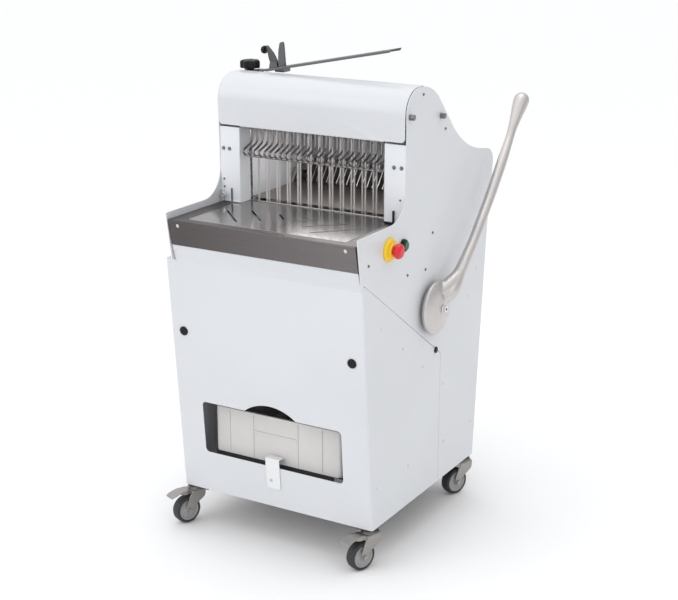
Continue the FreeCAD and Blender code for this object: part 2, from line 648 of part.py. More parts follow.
# connecting rods: the upper end is pinned to the frame's lower bar, the big end rides the crank pin
for nm, ky, s, xm in (("front", kf_y1, 1, -60), ("rear", kf_y2, -1, 60)):
    ye = crank_y.v + s * crank_e.v
    yk = ky.v + 5
    x0_ = xc + (xm - 10)
    shank = pad("YZ", [(yk - 4, 840), (yk + 4, 840), (yk + 4, 828), (ye + 11, 455), (ye - 11, 455), (yk - 4, 828)], x0_, 20)
    eye = cy("x", (x0_, ye, crank_z), 24, 20)
    sub(nm + "_connecting_rod", cut(fuse(shank, eye), cy("x", (x0_ - 10, ye, crank_z), 14.5, 40)))

# crankshaft: journals, webs and two pins on opposite sides
cs = [cy("x", (-245, crank_y, crank_z), shaft_r, xc + 245 - 77),
      cy("x", (xc - 43, crank_y, crank_z), shaft_r, 86),
      cy("x", (xc + 77, crank_y, crank_z), shaft_r, 245 - xc - 77)]
for s, xm in ((1, -60), (-1, 60)):
    yp = crank_y + s * crank_e
    cs.append(cy("x", (xc + (xm - 18), yp, crank_z), pin_r, 36))
    for q in (-27, 17):
        lo = crank_y - 17 if s > 0 else yp - 13
        hi = yp + 13 if s > 0 else crank_y + 17
        w = pad("YZ", [(lo, crank_z - 16, 12), (hi, crank_z - 14, 12), (hi, crank_z + 14, 12), (lo, crank_z + 16, 12)], xc + (xm + q), 10)
        cs.append(w)
sub("crankshaft", fuse(*cs))


def pulley(yc, zc, r, bore, x0_):
    b_ = fuse(cy("x", (x0_, yc, zc), r, pul_w), cy("x", (x0_, yc, zc), r + 7, 1.6), cy("x", (x0_ + pul_w.v - 1.6, yc, zc), r + 7, 1.6))
    return cut(b_, cy("x", (x0_ - 5, yc, zc), bore, 40)) if bore else b_


PX = 211.0
sub("crank_pulley", pulley(crank_y, crank_z, pul_r1, shaft_r, PX))
mp = pulley(motor_y, motor_z, pul_r2, 0, PX)
sub("motor_pulley", fuse(mp, cy("x", (196, motor_y, motor_z), 9.5, 16)))

# drive belt, a closed band round both pulleys
a = Vector(0, crank_y.v, crank_z.v)
b = Vector(0, motor_y.v, motor_z.v)


def band(r1, r2):
    d = b - a
    L = d.Length
    u = Vector(d).normalize()
    v = Vector(0, -u.z, u.y)
    sa = (r1 - r2) / L
    ca = math.sqrt(1 - sa * sa)
    pts = []
    for s in (1, -1):
        n_ = u * sa + v * (s * ca)
        pts.append((a + n_ * r1, b + n_ * r2))
    e1 = Part.LineSegment(pts[0][0], pts[0][1]).toShape()
    e2 = Part.Arc(pts[0][1], b + u * r2, pts[1][1]).toShape()
    e3 = Part.LineSegment(pts[1][1], pts[1][0]).toShape()
    e4 = Part.Arc(pts[1][0], a - u * r1, pts[0][0]).toShape()
    f_ = Part.Face(Part.Wire([e1, e2, e3, e4]))
    return f_


bo = band(pul_r1.v + 0.5 + belt_t.v, pul_r2.v + 0.5 + belt_t.v).extrude(Vector(16, 0, 0))
bi = band(pul_r1.v + 0.5, pul_r2.v + 0.5).extrude(Vector(16, 0, 0))
belt = bo.cut(bi)
belt.translate(Vector(PX + 2, 0, 0))
sub("drive_belt", feat(belt))

# motor with its foot, end bell and terminal box
mot = fuse(cy("x", (30, motor_y, motor_z), motor_r, 150), cy("x", (180, motor_y, motor_z), 40, 15), cy("x", (14, motor_y, motor_z), 52, 16),
           bx(55, 155, motor_y - 60, motor_y + 60, frame_z + frame_h, frame_z + frame_h + 12),
           bx(60, 150, motor_y - 40, motor_y + 40, frame_z + frame_h, motor_z),
           bx(70, 140, motor_y - 30, motor_y + 30, motor_z, motor_z + motor_r + 22))
sub("motor", mot)


def bearing(x0_, yc, zc):
    g_ = pad("YZ", [(yc - 42, zc - 22, 18), (yc + 42, zc - 22, 18), (yc + 42, zc + 22, 18), (yc - 42, zc + 22, 18)], x0_, 12)
    return cut(fuse(g_, cy("x", (x0_, yc, zc), 25, 12)), cy("x", (x0_ - 5, yc, zc), shaft_r + 0.06, 30))


sub("flange_bearings", comp(bearing(cheek_li, lever_y, lever_z), bearing(cheek_rx - 12, lever_y, lever_z),
                            bearing(-246, crank_y, crank_z), bearing(234, crank_y, crank_z)))

# guide blocks: two grooves each, one for each knife frame
gd = []
for s in (-1, 1):
    for (z0_, z1_) in ((1100, 1140), (800, 830)):
        if s > 0:
            b_ = bx(xc + 246, cheek_rx, 216, 253.5, z0_, z1_)
            t_ = [bx(xc + 240, xc + kf_x + 0.35, k - 0.35, k + kf_t + 0.35, z0_ - 5, z1_ + 5) for k in (kf_y1, kf_y2)]
        else:
            b_ = bx(cheek_li, xc - 246, 216, 253.5, z0_, z1_)
            t_ = [bx(xc - kf_x - 0.35, xc - 240, k - 0.35, k + kf_t + 0.35, z0_ - 5, z1_ + 5) for k in (kf_y1, kf_y2)]
        gd.append(cut(b_, *t_))
sub("frame_guides", comp(*gd))

# ---------------------------------------------------------------- hold-down comb in front of the blades
CY, CZ = 211.0, 1205.0
cb = [cy("x", (xc - 225.5, CY, CZ), 5, 451)]
rods = []
for i in range(26):
    x = xc.v + pitch.v * (i - 12.5)
    rods.append(rodpath([(x, CY, CZ), (x, CY, 1082, 18), (x, 161, 1064, 5), (x, 177, 1050)], tine_d))
cb.append(feat(Part.makeCompound(rods)))
cb.append(cy("x", (xc + pitch * (-12.5) - 3, 177, 1050), 3.4, pitch * 25 + 6))
sub("hold_down_comb", fuse(*cb))

# ---------------------------------------------------------------- crumb crate and its runners
cx0, cx1 = -crate_w / 2, crate_w / 2
cyf = 14.0
cz0 = 237.0
out = pad("XY", [(cx0, cyf, 10), (cx1, cyf, 10), (cx1, cyf + crate_d, 10), (cx0, cyf + crate_d, 10)], cz0, crate_h)
inn = pad("XY", [(cx0 + crate_t, cyf + crate_t, 7), (cx1 - crate_t, cyf + crate_t, 7), (cx1 - crate_t, cyf + crate_d - crate_t, 7), (cx0 + crate_t, cyf + crate_d - crate_t, 7)],
          cz0 + crate_t, crate_h + 20)
cr = cut(out, inn)
ribs = []
for x in (-158, -79.5, 64.5, 141.5):
    ribs.append(bx(x - 3, x + 3, cyf - 2.2, cyf + 1, cz0 + 4, cz0 + crate_h - 4))
ribs.append(bx(-79.5, 64.5, cyf - 2.2, cyf + 1, 314.5, 320))
ribs.append(bx(cx0 + 8, cx1 - 8, cyf - 2.2, cyf + 1, cz0 + crate_h - 5, cz0 + crate_h))
ribs.append(bx(cx0 + 8, cx1 - 8, cyf - 2.2, cyf + 1, cz0, cz0 + 4))
sub("crumb_crate", fuse(cr, *ribs))

rn = []
for s in (-1, 1):
    a, b = sorted((s * 206.0, s * 208.0))
    c_, d_ = sorted((s * 176.0, s * 208.0))
    rn.append(fuse(bx(a, b, 20, 404, frame_z + frame_h, 236.4), bx(c_, d_, 20, 404, 234.4, 236.4)))
# a cross strip ties the two runners together under the crate's front
rn.append(bx(-176, 176, 20, 22, 216, 236.4))
sub("crate_runners", comp(*rn))

cl = pad("YZ", strip([(front_y(170) - 0.8, 169.5), (front_y(258) - 0.8, 260, 4), (cyf - 2.2, 258)], 2.0), -22.5, 45)
clf = cy("y", (-6.5, front_y(196) - 0.8 - 2 - 3, 196), 5, 3.5)
sub("crate_clip", fuse(cl, clf))

# ---------------------------------------------------------------- controls on the right cheek
EY, EZ = 76.0, 872.0
sub("estop_base", cut(fuse(cy("x", (X1, EY, EZ), estop_r, 10), cy("x", (X1, EY, EZ), 17, 15)), cy("x", (X1 - 5, EY, EZ), 11.3, 40)))
mush = [(331, 0), (331, 20, 2), (337, 21, 3), (345, 15, 8), (347, 0)]
g = [s.toShape() for s in geo(corners([(a_, b_) + tuple(c_) for a_, b_, *c_ in mush]))]
m_ = Part.Face(Part.Wire(Part.__sortEdges__(g))).revolve(Vector(0, 0, 0), Vector(1, 0, 0), 360)
m_ = m_.fuse(Part.makeCylinder(10.8, 21, Vector(311, 0, 0), Vector(1, 0, 0)))
m_.translate(Vector(0, EY, EZ))
sub("estop_button", feat(m_))
GY, GZ = 151.0, 867.0
sub("start_bezel", cut(cy("x", (X1, GY, GZ), 17, 9), cy("x", (X1 - 5, GY, GZ), button_r + 0.3, 40)))
sub("start_button", comp(cy("x", (310, GY, GZ), button_r, 11)))

# ---------------------------------------------------------------- visible fasteners
sc_ = []
for (y, z) in ((37, 669), (160, 581), (278, 494), (403, 405), (415.6, 226), (199, 228), (21, 229), (592, 227), (556, 626), (602, 697)):
    sc_.append(cy("x", (X1, y, z), 4.5, 2))
for (y, z) in ((254, 1246), (386, 1137), (321, 864), (179, 779), (283, 770), (-31, 854)):
    sc_.append(cy("x", (X1, y, z), 4, 2.5))
for (y, z) in ((181, 1197), (357, 1176)):
    hx = doc.addObject("Part::Prism", uid("Hex"))
    hx.Polygon = 6
    hx.Circumradius = 8
    hx.Height = 14
    hx.Placement = Placement(Vector(X1.v, y, z), Rotation(Vector(0, 1, 0), 90))
    sc_.append(hx)
for (x, z) in ((-264.5, 1065), (-245, 1065), (269.6, 1065.5), (291.6, 1065.5), (289.3, 981), (-264, 979), (-264, 957)):
    sc_.append(cy("y", (x, 168 - 3.5, z), 4.5 if z > 1000 else 3, 3.5))
na = Vector(0, -72, -15.5).normalize()
for x in (-241.5, 271.5):
    s_ = Part.makeCylinder(5, 2.6, Vector(0, 0, 0), Vector(0, 0, 1))
    zc_ = 900.0
    yc_ = -86.5 + (915 - zc_) * 15.5 / 72
    s_.Placement = Placement(Vector(x, yc_, zc_), Rotation(Vector(0, 0, 1), na))
    sc_.append(feat(s_))
sub("panel_screws", comp(*sc_))

# small stops at the foot of the uprights
stl = fuse(bx(-275, -262, 160, 168, table_z + 0.3, table_z + 34), bx(-240, -237.5, 164, 168, table_z + 0.3, table_z + 40), bx(-262, -212, 163, 168, table_z + 0.3, table_z + 4))
stl2 = cy("y", (-262, 154, table_z + 20), 9, 6)
stl = fuse(stl, stl2)
strr = fuse(bx(268, 273, 162, 168, table_z + 0.3, table_z + 37), bx(243, 273, 162, 168, table_z + 0.3, table_z + 6))
sub("side_stops", comp(stl, strr))

# ---------------------------------------------------------------- bagging tray on the hood
TX, TY = -260.0, 300.0
under = prism([(200, 1100), (200, 1265.6), (307.5, 1265.6, 147.1), (428, 1141.6), (428, 1100)], -320, 400, "YZ")
ped = fuse(bx(-274.8, -243, 285, 315, 1240, 1261), cy("z", (TX, TY, 1250), 5, 28))
sub("tray_pedestal", cut(ped, feat(under)))
th = math.radians(11.17)
SX = -238.0
SZ = 1265.0
tl = 441.0 / math.cos(th)
prof = [(-tray_w / 2, 0), (tray_w / 2, 0), (tray_w / 2, -7), (tray_w / 2 - 1.8, -7), (tray_w / 2 - 1.8, -1.8), (-tray_w / 2 + 1.8, -1.8), (-tray_w / 2 + 1.8, -7), (-tray_w / 2, -7)]
g = [s.toShape() for s in geo(corners(prof))]
bf = Part.Face(Part.Wire(Part.__sortEdges__(g)))
# the blade runs along the local Z axis, turned to climb towards +X
blade = bf.extrude(Vector(0, 0, tl))
blade.Placement = Placement(Vector(SX, TY, SZ), Rotation(Vector(0, 1, 0), Vector(-math.sin(th), 0, math.cos(th)), Vector(math.cos(th), 0, math.sin(th)), "ZXY"))
blade = blade.cut([Part.makeBox(45, 14, 60, Vector(-250, TY - 31, 1240)), Part.makeBox(45, 14, 60, Vector(-250, TY + 17, 1240)),
                   Part.makeBox(60, 70, 29.5, Vector(-250, TY - 35, 1240))])
tong = Part.makeBox(SX + 20 - TX, 34, 4, Vector(TX, TY - 17, 1261.5)).fuse(Part.makeCylinder(17, 4, Vector(TX, TY, 1261.5), Vector(0, 0, 1)))
riser = Part.makeBox(22, 34, 6.5, Vector(SX - 2, TY - 17, 1261.5))
tr_parts = [tong, riser]
lug = prism([(-167, 1277), (-142, 1282), (-147.3, 1340, 6), (-150, 1349.5, 3), (-160.5, 1345.5, 4), (-164.5, 1325, 10)], TY - 4, 8, "XZ")
tr_parts += [lug, Part.makeBox(30, 34, 11.5, Vector(-168, TY - 17, 1267))]
FX, FZ = -180.0, 1287.0
for ya in (-8.0, 4.6):
    q_ = prism([(-13, -14), (15, -10), (12, 5, 6), (-10, 5, 6)], TY + ya, 3.4, "XZ")
    q_.translate(Vector(FX, 0, FZ))
    tr_parts.append(q_)
tr_parts.append(Part.makeCylinder(2.5, 18, Vector(FX, TY - 9, FZ), Vector(0, 1, 0)))
tr = blade.fuse(tr_parts)
tr = tr.cut(Part.makeCylinder(5.1, 60, Vector(TX, TY, 1250), Vector(0, 0, 1)))
sub("bagging_tray", feat(tr))

kn = [Part.makeCylinder(11, 6, Vector(TX, TY, 1265.9), Vector(0, 0, 1))]
core = Part.makeCylinder(21.5, 24, Vector(TX, TY, 1270), Vector(0, 0, 1))
for i in range(7):
    a_ = math.radians(360.0 / 7 * i)
    kn.append(Part.makeCylinder(7.8, 24, Vector(TX + 21.0 * math.cos(a_), TY + 21.0 * math.sin(a_), 1270), Vector(0, 0, 1)))
knob = core.fuse(kn)
knob = knob.cut(Part.makeCylinder(5.06, 20, Vector(TX, TY, 1261), Vector(0, 0, 1)))
sub("star_knob", feat(knob))

# clamp finger with its ball, hinged on the tray
fin = prism([(-190.5, 1284.5, 3), (-168, 1286, 5), (-170.5, 1298, 10), (-182, 1317, 30), (-197, 1332.5, 10), (-203, 1336.5, 2), (-206, 1333, 2), (-201, 1320, 10), (-196.5, 1301, 20)], TY - 4, 8, "XZ")
ball = Part.makeSphere(11.3, Vector(-211, TY, 1323.5), Vector(-1, 0, 0))
ball = ball.cut(Part.makeBox(20, 40, 40, Vector(-206.7, TY - 20, 1303.5)))
neck = Part.makeCylinder(3, 12, Vector(-208.7, TY, 1323.5), Vector(1, 0, 0))
fin = fin.fuse(neck).fuse(ball)
fin = fin.cut(Part.makeCylinder(2.56, 30, Vector(FX, TY - 15, FZ), Vector(0, 1, 0)))
sub("clamp_finger", feat(fin))

# ---------------------------------------------------------------- castors
ph = math.radians(swivel_deg.v)
dirv = Vector(-math.sin(ph), -math.cos(ph), 0)       # trailing direction at rest
axv = Vector(math.cos(ph), -math.sin(ph), 0)         # axle direction


def place_castor(shape, cxp, cyp):
    """Local axes: x along the trail, y along the axle, z up, origin on the floor under the swivel axis."""
    q = shape.copy()
    q.Placement = Placement(Vector(cxp, cyp, 0), Rotation(dirv, Vector(-axv.x, -axv.y, 0), Vector(0, 0, 1), "ZXY")).multiply(q.Placement)
    return q


hw = 17.4
fork_pl = []
side = [(-22, 99, 2), (24, 99, 4), (42, 62, 14), (trail.v + 10, 34, 9), (trail.v - 10, 34, 9), (-20, 78, 12)]
for s in (-1, 1):
    y0_ = hw if s > 0 else -hw - 3
    fork_pl.append(prism(side, y0_, 3, "XZ"))
topp = Part.makeBox(46, 2 * hw + 6, 3, Vector(-22, -hw - 3, 96))
head = Part.makeCylinder(25, 5, Vector(0, 0, 98.5))
fork = topp.fuse(fork_pl + [head])
axle = Part.makeCylinder(4, 2 * hw + 14, Vector(trail.v, -hw - 7, wheel_r.v), Vector(0, 1, 0))
nut1 = Part.makeCylinder(7, 4, Vector(trail.v, -hw - 7, wheel_r.v), Vector(0, 1, 0))
nut2 = Part.makeCylinder(7, 4, Vector(trail.v, hw + 3, wheel_r.v), Vector(0, 1, 0))
fork = fork.fuse([axle, nut1, nut2])
ww = wheel_w.v
rim = Part.makeCylinder(31, ww - 3, Vector(trail.v, -(ww - 3) / 2, wheel_r.v), Vector(0, 1, 0))
rim = rim.cut([Part.makeCylinder(25, 6, Vector(trail.v, (ww - 3) / 2 - 5, wheel_r.v), Vector(0, 1, 0)),
               Part.makeCylinder(25, 6, Vector(trail.v, -(ww - 3) / 2 - 1, wheel_r.v), Vector(0, 1, 0))])
rim = rim.fuse(Part.makeCylinder(10, ww + 2, Vector(trail.v, -(ww + 2) / 2, wheel_r.v), Vector(0, 1, 0)))
rim = rim.cut(Part.makeCylinder(4.06, ww + 20, Vector(trail.v, -(ww + 20) / 2, wheel_r.v), Vector(0, 1, 0)))
tyre = Part.makeCylinder(wheel_r.v, ww, Vector(trail.v, -ww / 2, wheel_r.v), Vector(0, 1, 0))
tyre = tyre.makeFillet(5, [e for e in tyre.Edges if len(e.Vertexes) == 1 and abs(e.Length - 2 * math.pi * wheel_r.v) < 1])
tyre = tyre.cut(Part.makeCylinder(31, ww + 10, Vector(trail.v, -(ww + 10) / 2, wheel_r.v), Vector(0, 1, 0)))
ped_o = prism([(28, 103, 1), (60, 100, 10), (90, 92, 2), (89, 89, 1), (60, 96, 10), (40, 97), (36, 88), (28, 88)], -19, 38, "XZ")
ped_o = ped_o.cut(Part.makeBox(14, 50, 20, Vector(20, -25, 80)))
ped_o = ped_o.fuse(Part.makeCylinder(3, 33.6, Vector(30, -16.8, 101), Vector(0, 1, 0)))
for nm, cxp, cyp, br in (("front_left", -castor_x.v, castor_y1.v, True), ("front_right", castor_x.v, castor_y1.v, True),
                         ("rear_left", -castor_x.v, castor_y2.v, False), ("rear_right", castor_x.v, castor_y2.v, False)):
    sub("castor_fork_" + nm, feat(place_castor(fork, cxp, cyp)))
    sub("wheel_rim_" + nm, feat(place_castor(rim, cxp, cyp)))
    sub("wheel_tyre_" + nm, feat(place_castor(tyre, cxp, cyp)))
    if br:
        sub("brake_pedal_" + nm, feat(place_castor(ped_o, cxp, cyp)))

# ---------------------------------------------------------------- checks and export
doc.recompute()
bad = []
for o in doc.Objects:
    if any(s in ("Invalid", "Error") for s in o.State):
        bad.append((o.Name, o.Label, o.State))
labels = set()
for label, o in SUBS:
    if o.Shape.isNull() or not o.Shape.isValid():
        bad.append((o.Name, label, "shape"))
    if label in labels or len(label) >= 60:
        bad.append((o.Name, label, "label"))
    labels.add(label)
if bad:
    raise SystemExit("failed objects: %r" % bad)
if len(SUBS) > 60:
    raise SystemExit("too many sub-parts: %d" % len(SUBS))
os.makedirs("parts", exist_ok=True)
box = FreeCAD.BoundBox()
for label, o in SUBS:
    o.Shape.exportStep("parts/%s.step" % label)
    box.add(o.Shape.optimalBoundingBox(True, False) if hasattr(o.Shape, "optimalBoundingBox") else o.Shape.BoundBox)
    print("%-28s solids %2d volume %10.1f cm3" % (label, len(o.Shape.Solids), o.Shape.Volume / 1000))
print("sub-parts", len(SUBS))
print("box x %.2f %.2f  y %.2f %.2f  z %.2f %.2f" % (box.XMin, box.XMax, box.YMin, box.YMax, box.ZMin, box.ZMax))
print("add to shift: x %.3f y %.3f" % (-(box.XMin + box.XMax) / 2, -(box.YMin + box.YMax) / 2))
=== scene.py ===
import bpy
import bmesh
import math
import random
from mathutils import Matrix, Vector


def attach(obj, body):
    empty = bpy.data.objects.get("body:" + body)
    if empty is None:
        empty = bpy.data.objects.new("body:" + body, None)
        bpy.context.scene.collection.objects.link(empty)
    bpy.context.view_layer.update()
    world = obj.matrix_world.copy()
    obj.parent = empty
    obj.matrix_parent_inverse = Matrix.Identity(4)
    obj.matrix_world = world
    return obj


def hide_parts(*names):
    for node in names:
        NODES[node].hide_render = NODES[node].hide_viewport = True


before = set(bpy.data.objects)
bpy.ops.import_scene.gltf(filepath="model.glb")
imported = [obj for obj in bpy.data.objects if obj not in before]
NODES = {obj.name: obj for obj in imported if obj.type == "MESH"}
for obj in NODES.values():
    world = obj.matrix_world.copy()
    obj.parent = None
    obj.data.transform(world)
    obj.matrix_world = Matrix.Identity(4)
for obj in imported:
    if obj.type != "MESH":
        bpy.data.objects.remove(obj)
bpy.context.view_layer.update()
MM = 0.001
SX, SY = -21.575, -352.618            # the design coordinates' shift into the row frame, mm
XC = 15.0
LEAN = 55.5 / 684.0


def V(x, y, z):
    """Design coordinates in mm to the row frame in metres."""
    return Vector(((x + SX) * MM, (y + SY) * MM, z * MM))


# ---------------------------------------------------------------- materials
def new_mat(name):
    m = bpy.data.materials.new(name)
    m.use_nodes = True
    nt = m.node_tree
    for n in list(nt.nodes):
        nt.nodes.remove(n)
    out = nt.nodes.new("ShaderNodeOutputMaterial")
    b = nt.nodes.new("ShaderNodeBsdfPrincipled")
    nt.links.new(b.outputs["BSDF"], out.inputs["Surface"])
    return m, nt, b


def coords(nt, scale=(1, 1, 1), rot=(0, 0, 0)):
    tc = nt.nodes.new("ShaderNodeTexCoord")
    mp = nt.nodes.new("ShaderNodeMapping")
    mp.inputs["Scale"].default_value = scale
    mp.inputs["Rotation"].default_value = rot
    nt.links.new(tc.outputs["Object"], mp.inputs["Vector"])
    return mp.outputs["Vector"]


def noise(nt, vec, scale, detail=2.0, rough=0.5):
    n = nt.nodes.new("ShaderNodeTexNoise")
    n.inputs["Scale"].default_value = scale
    n.inputs["Detail"].default_value = detail
    n.inputs["Roughness"].default_value = rough
    nt.links.new(vec, n.inputs["Vector"])
    return n.outputs["Fac"]


def ramp(nt, fac, stops):
    r = nt.nodes.new("ShaderNodeValToRGB")
    el = r.color_ramp.elements
    while len(el) < len(stops):
        el.new(0.5)
    for e, (p, c) in zip(el, stops):
        e.position = p
        e.color = (c[0], c[1], c[2], 1)
    nt.links.new(fac, r.inputs["Fac"])
    return r.outputs["Color"]


def rng(nt, fac, a, b, lo=0.0, hi=1.0):
    r = nt.nodes.new("ShaderNodeMapRange")
    r.inputs["From Min"].default_value = lo
    r.inputs["From Max"].default_value = hi
    r.inputs["To Min"].default_value = a
    r.inputs["To Max"].default_value = b
    nt.links.new(fac, r.inputs["Value"])
    return r.outputs["Result"]


def bump(nt, b, height, strength, dist):
    n = nt.nodes.new("ShaderNodeBump")
    n.inputs["Strength"].default_value = strength
    n.inputs["Distance"].default_value = dist
    nt.links.new(height, n.inputs["Height"])
    nt.links.new(n.outputs["Normal"], b.inputs["Normal"])
    return n


# mask of sharp convex edges, used to paint a highlight along them
def edge_highlight_mask(nt, lo, hi):
    g = nt.nodes.new("ShaderNodeNewGeometry")
    return rng(nt, g.outputs["Pointiness"], 0.0, 1.0, lo, hi)


def mixc(nt, fac, a, b):
    m = nt.nodes.new("ShaderNodeMix")
    m.data_type = "RGBA"
    if isinstance(fac, (int, float)):
        m.inputs["Factor"].default_value = fac
    else:
        nt.links.new(fac, m.inputs["Factor"])
    for k, c in ((6, a), (7, b)):
        if isinstance(c, tuple):
            m.inputs[k].default_value = (c[0], c[1], c[2], 1)
        else:
            nt.links.new(c, m.inputs[k])
    return m.outputs[2]


def paint(name, col, rough=(0.26, 0.36), peel=0.05, coat=0.25, tint=0.02):
    """Powder-coated sheet: faint tone drift, orange peel, and a painted highlight that brightens the edges."""
    m, nt, b = new_mat(name)
    v = coords(nt)
    big = noise(nt, v, 3.0, 3.0)
    c = ramp(nt, big, [(0.3, tuple(x * (1 - tint) for x in col)), (0.7, tuple(min(1, x * (1 + tint)) for x in col))])
    fine = noise(nt, v, 260.0, 2.0)
    # painted highlight: the edges are painted 6% brighter
    e = edge_highlight_mask(nt, 0.52, 0.62)
    c = mixc(nt, e, c, tuple(min(1.0, x * 1.06) for x in col))
    nt.links.new(c, b.inputs["Base Color"])
    nt.links.new(rng(nt, noise(nt, v, 40.0, 4.0), rough[0], rough[1]), b.inputs["Roughness"])
    b.inputs["Coat Weight"].default_value = coat
    b.inputs["Coat Roughness"].default_value = 0.18
    bump(nt, b, fine, peel, 0.0004)
    return m


def brushed(name, col, axis="x", rough=(0.24, 0.38), streak=0.10, metal=1.0, scale=90.0):
    """Brushed sheet steel: long fine streaks along one axis in colour, roughness and bump."""
    m, nt, b = new_mat(name)
    k = {"x": (0.03, 1, 1), "y": (1, 0.03, 1), "z": (1, 1, 0.03)}[axis]
    v = coords(nt, k)
    s1 = noise(nt, v, scale * 8, 3.0, 0.6)
    s2 = noise(nt, v, scale, 4.0, 0.6)
    mx = nt.nodes.new("ShaderNodeMath")
    mx.operation = "ADD"
    nt.links.new(rng(nt, s1, 0, 0.5), mx.inputs[0])
    nt.links.new(rng(nt, s2, 0, 0.5), mx.inputs[1])
    f = mx.outputs[0]
    nt.links.new(ramp(nt, f, [(0.3, tuple(x * (1 - streak) for x in col)), (0.7, tuple(min(1, x * (1 + streak)) for x in col))]), b.inputs["Base Color"])
    nt.links.new(rng(nt, f, rough[0], rough[1], 0.3, 0.7), b.inputs["Roughness"])
    b.inputs["Metallic"].default_value = metal
    bump(nt, b, f, 0.10, 0.0002)
    return m


def painted_reflection_gradient(name, col, lo, hi, x0, x1, **kw):
    """Brushed sheet with a painted reflection: its tone drifts from lo to hi along the machine's width (row metres x0
    to x1).
    """
    m = brushed(name, col, "x", **kw)
    nt = m.node_tree
    b = next(n for n in nt.nodes if n.type == "BSDF_PRINCIPLED")
    src = b.inputs["Base Color"].links[0].from_socket
    tc = nt.nodes.new("ShaderNodeTexCoord")
    se = nt.nodes.new("ShaderNodeSeparateXYZ")
    nt.links.new(tc.outputs["Object"], se.inputs[0])
    mr = nt.nodes.new("ShaderNodeMapRange")
    mr.inputs["From Min"].default_value = x0
    mr.inputs["From Max"].default_value = x1
    mr.inputs["To Min"].default_value = lo
    mr.inputs["To Max"].default_value = hi
    nt.links.new(se.outputs["X"], mr.inputs["Value"])
    cb = nt.nodes.new("ShaderNodeCombineXYZ")
    for k in range(3):
        nt.links.new(mr.outputs["Result"], cb.inputs[k])
    vm = nt.nodes.new("ShaderNodeVectorMath")
    vm.operation = "MULTIPLY"
    nt.links.new(src, vm.inputs[0])
    nt.links.new(cb.outputs[0], vm.inputs[1])
    nt.links.new(vm.outputs[0], b.inputs["Base Color"])
    return m


def metal(name, col, rough=(0.2, 0.32), grain=220.0, strength=0.05, var=0.05):
    m, nt, b = new_mat(name)
    v = coords(nt)
    f = noise(nt, v, grain, 3.0)
    g = noise(nt, v, 12.0, 3.0)
    c = ramp(nt, g, [(0.3, tuple(x * (1 - var) for x in col)), (0.7, tuple(min(1, x * (1 + var)) for x in col))])
    # painted highlight: the edges are painted 15% brighter
    e = edge_highlight_mask(nt, 0.52, 0.6)
    c = mixc(nt, e, c, tuple(min(1.0, x * 1.15) for x in col))
    nt.links.new(c, b.inputs["Base Color"])
    nt.links.new(rng(nt, f, rough[0], rough[1], 0.3, 0.7), b.inputs["Roughness"])
    b.inputs["Metallic"].default_value = 1.0
    bump(nt, b, f, strength, 0.0002)
    return m


def plastic(name, col, rough=(0.35, 0.5), grain=400.0, strength=0.08, var=0.06, spec=0.5):
    m, nt, b = new_mat(name)
    v = coords(nt)
    f = noise(nt, v, grain, 2.0)
    g = noise(nt, v, 9.0, 3.0)
    nt.links.new(ramp(nt, g, [(0.3, tuple(x * (1 - var) for x in col)), (0.7, tuple(min(1, x * (1 + var)) for x in col))]), b.inputs["Base Color"])
    nt.links.new(rng(nt, f, rough[0], rough[1], 0.3, 0.7), b.inputs["Roughness"])
    b.inputs["Specular IOR Level"].default_value = spec
    bump(nt, b, f, strength, 0.0003)
    return m


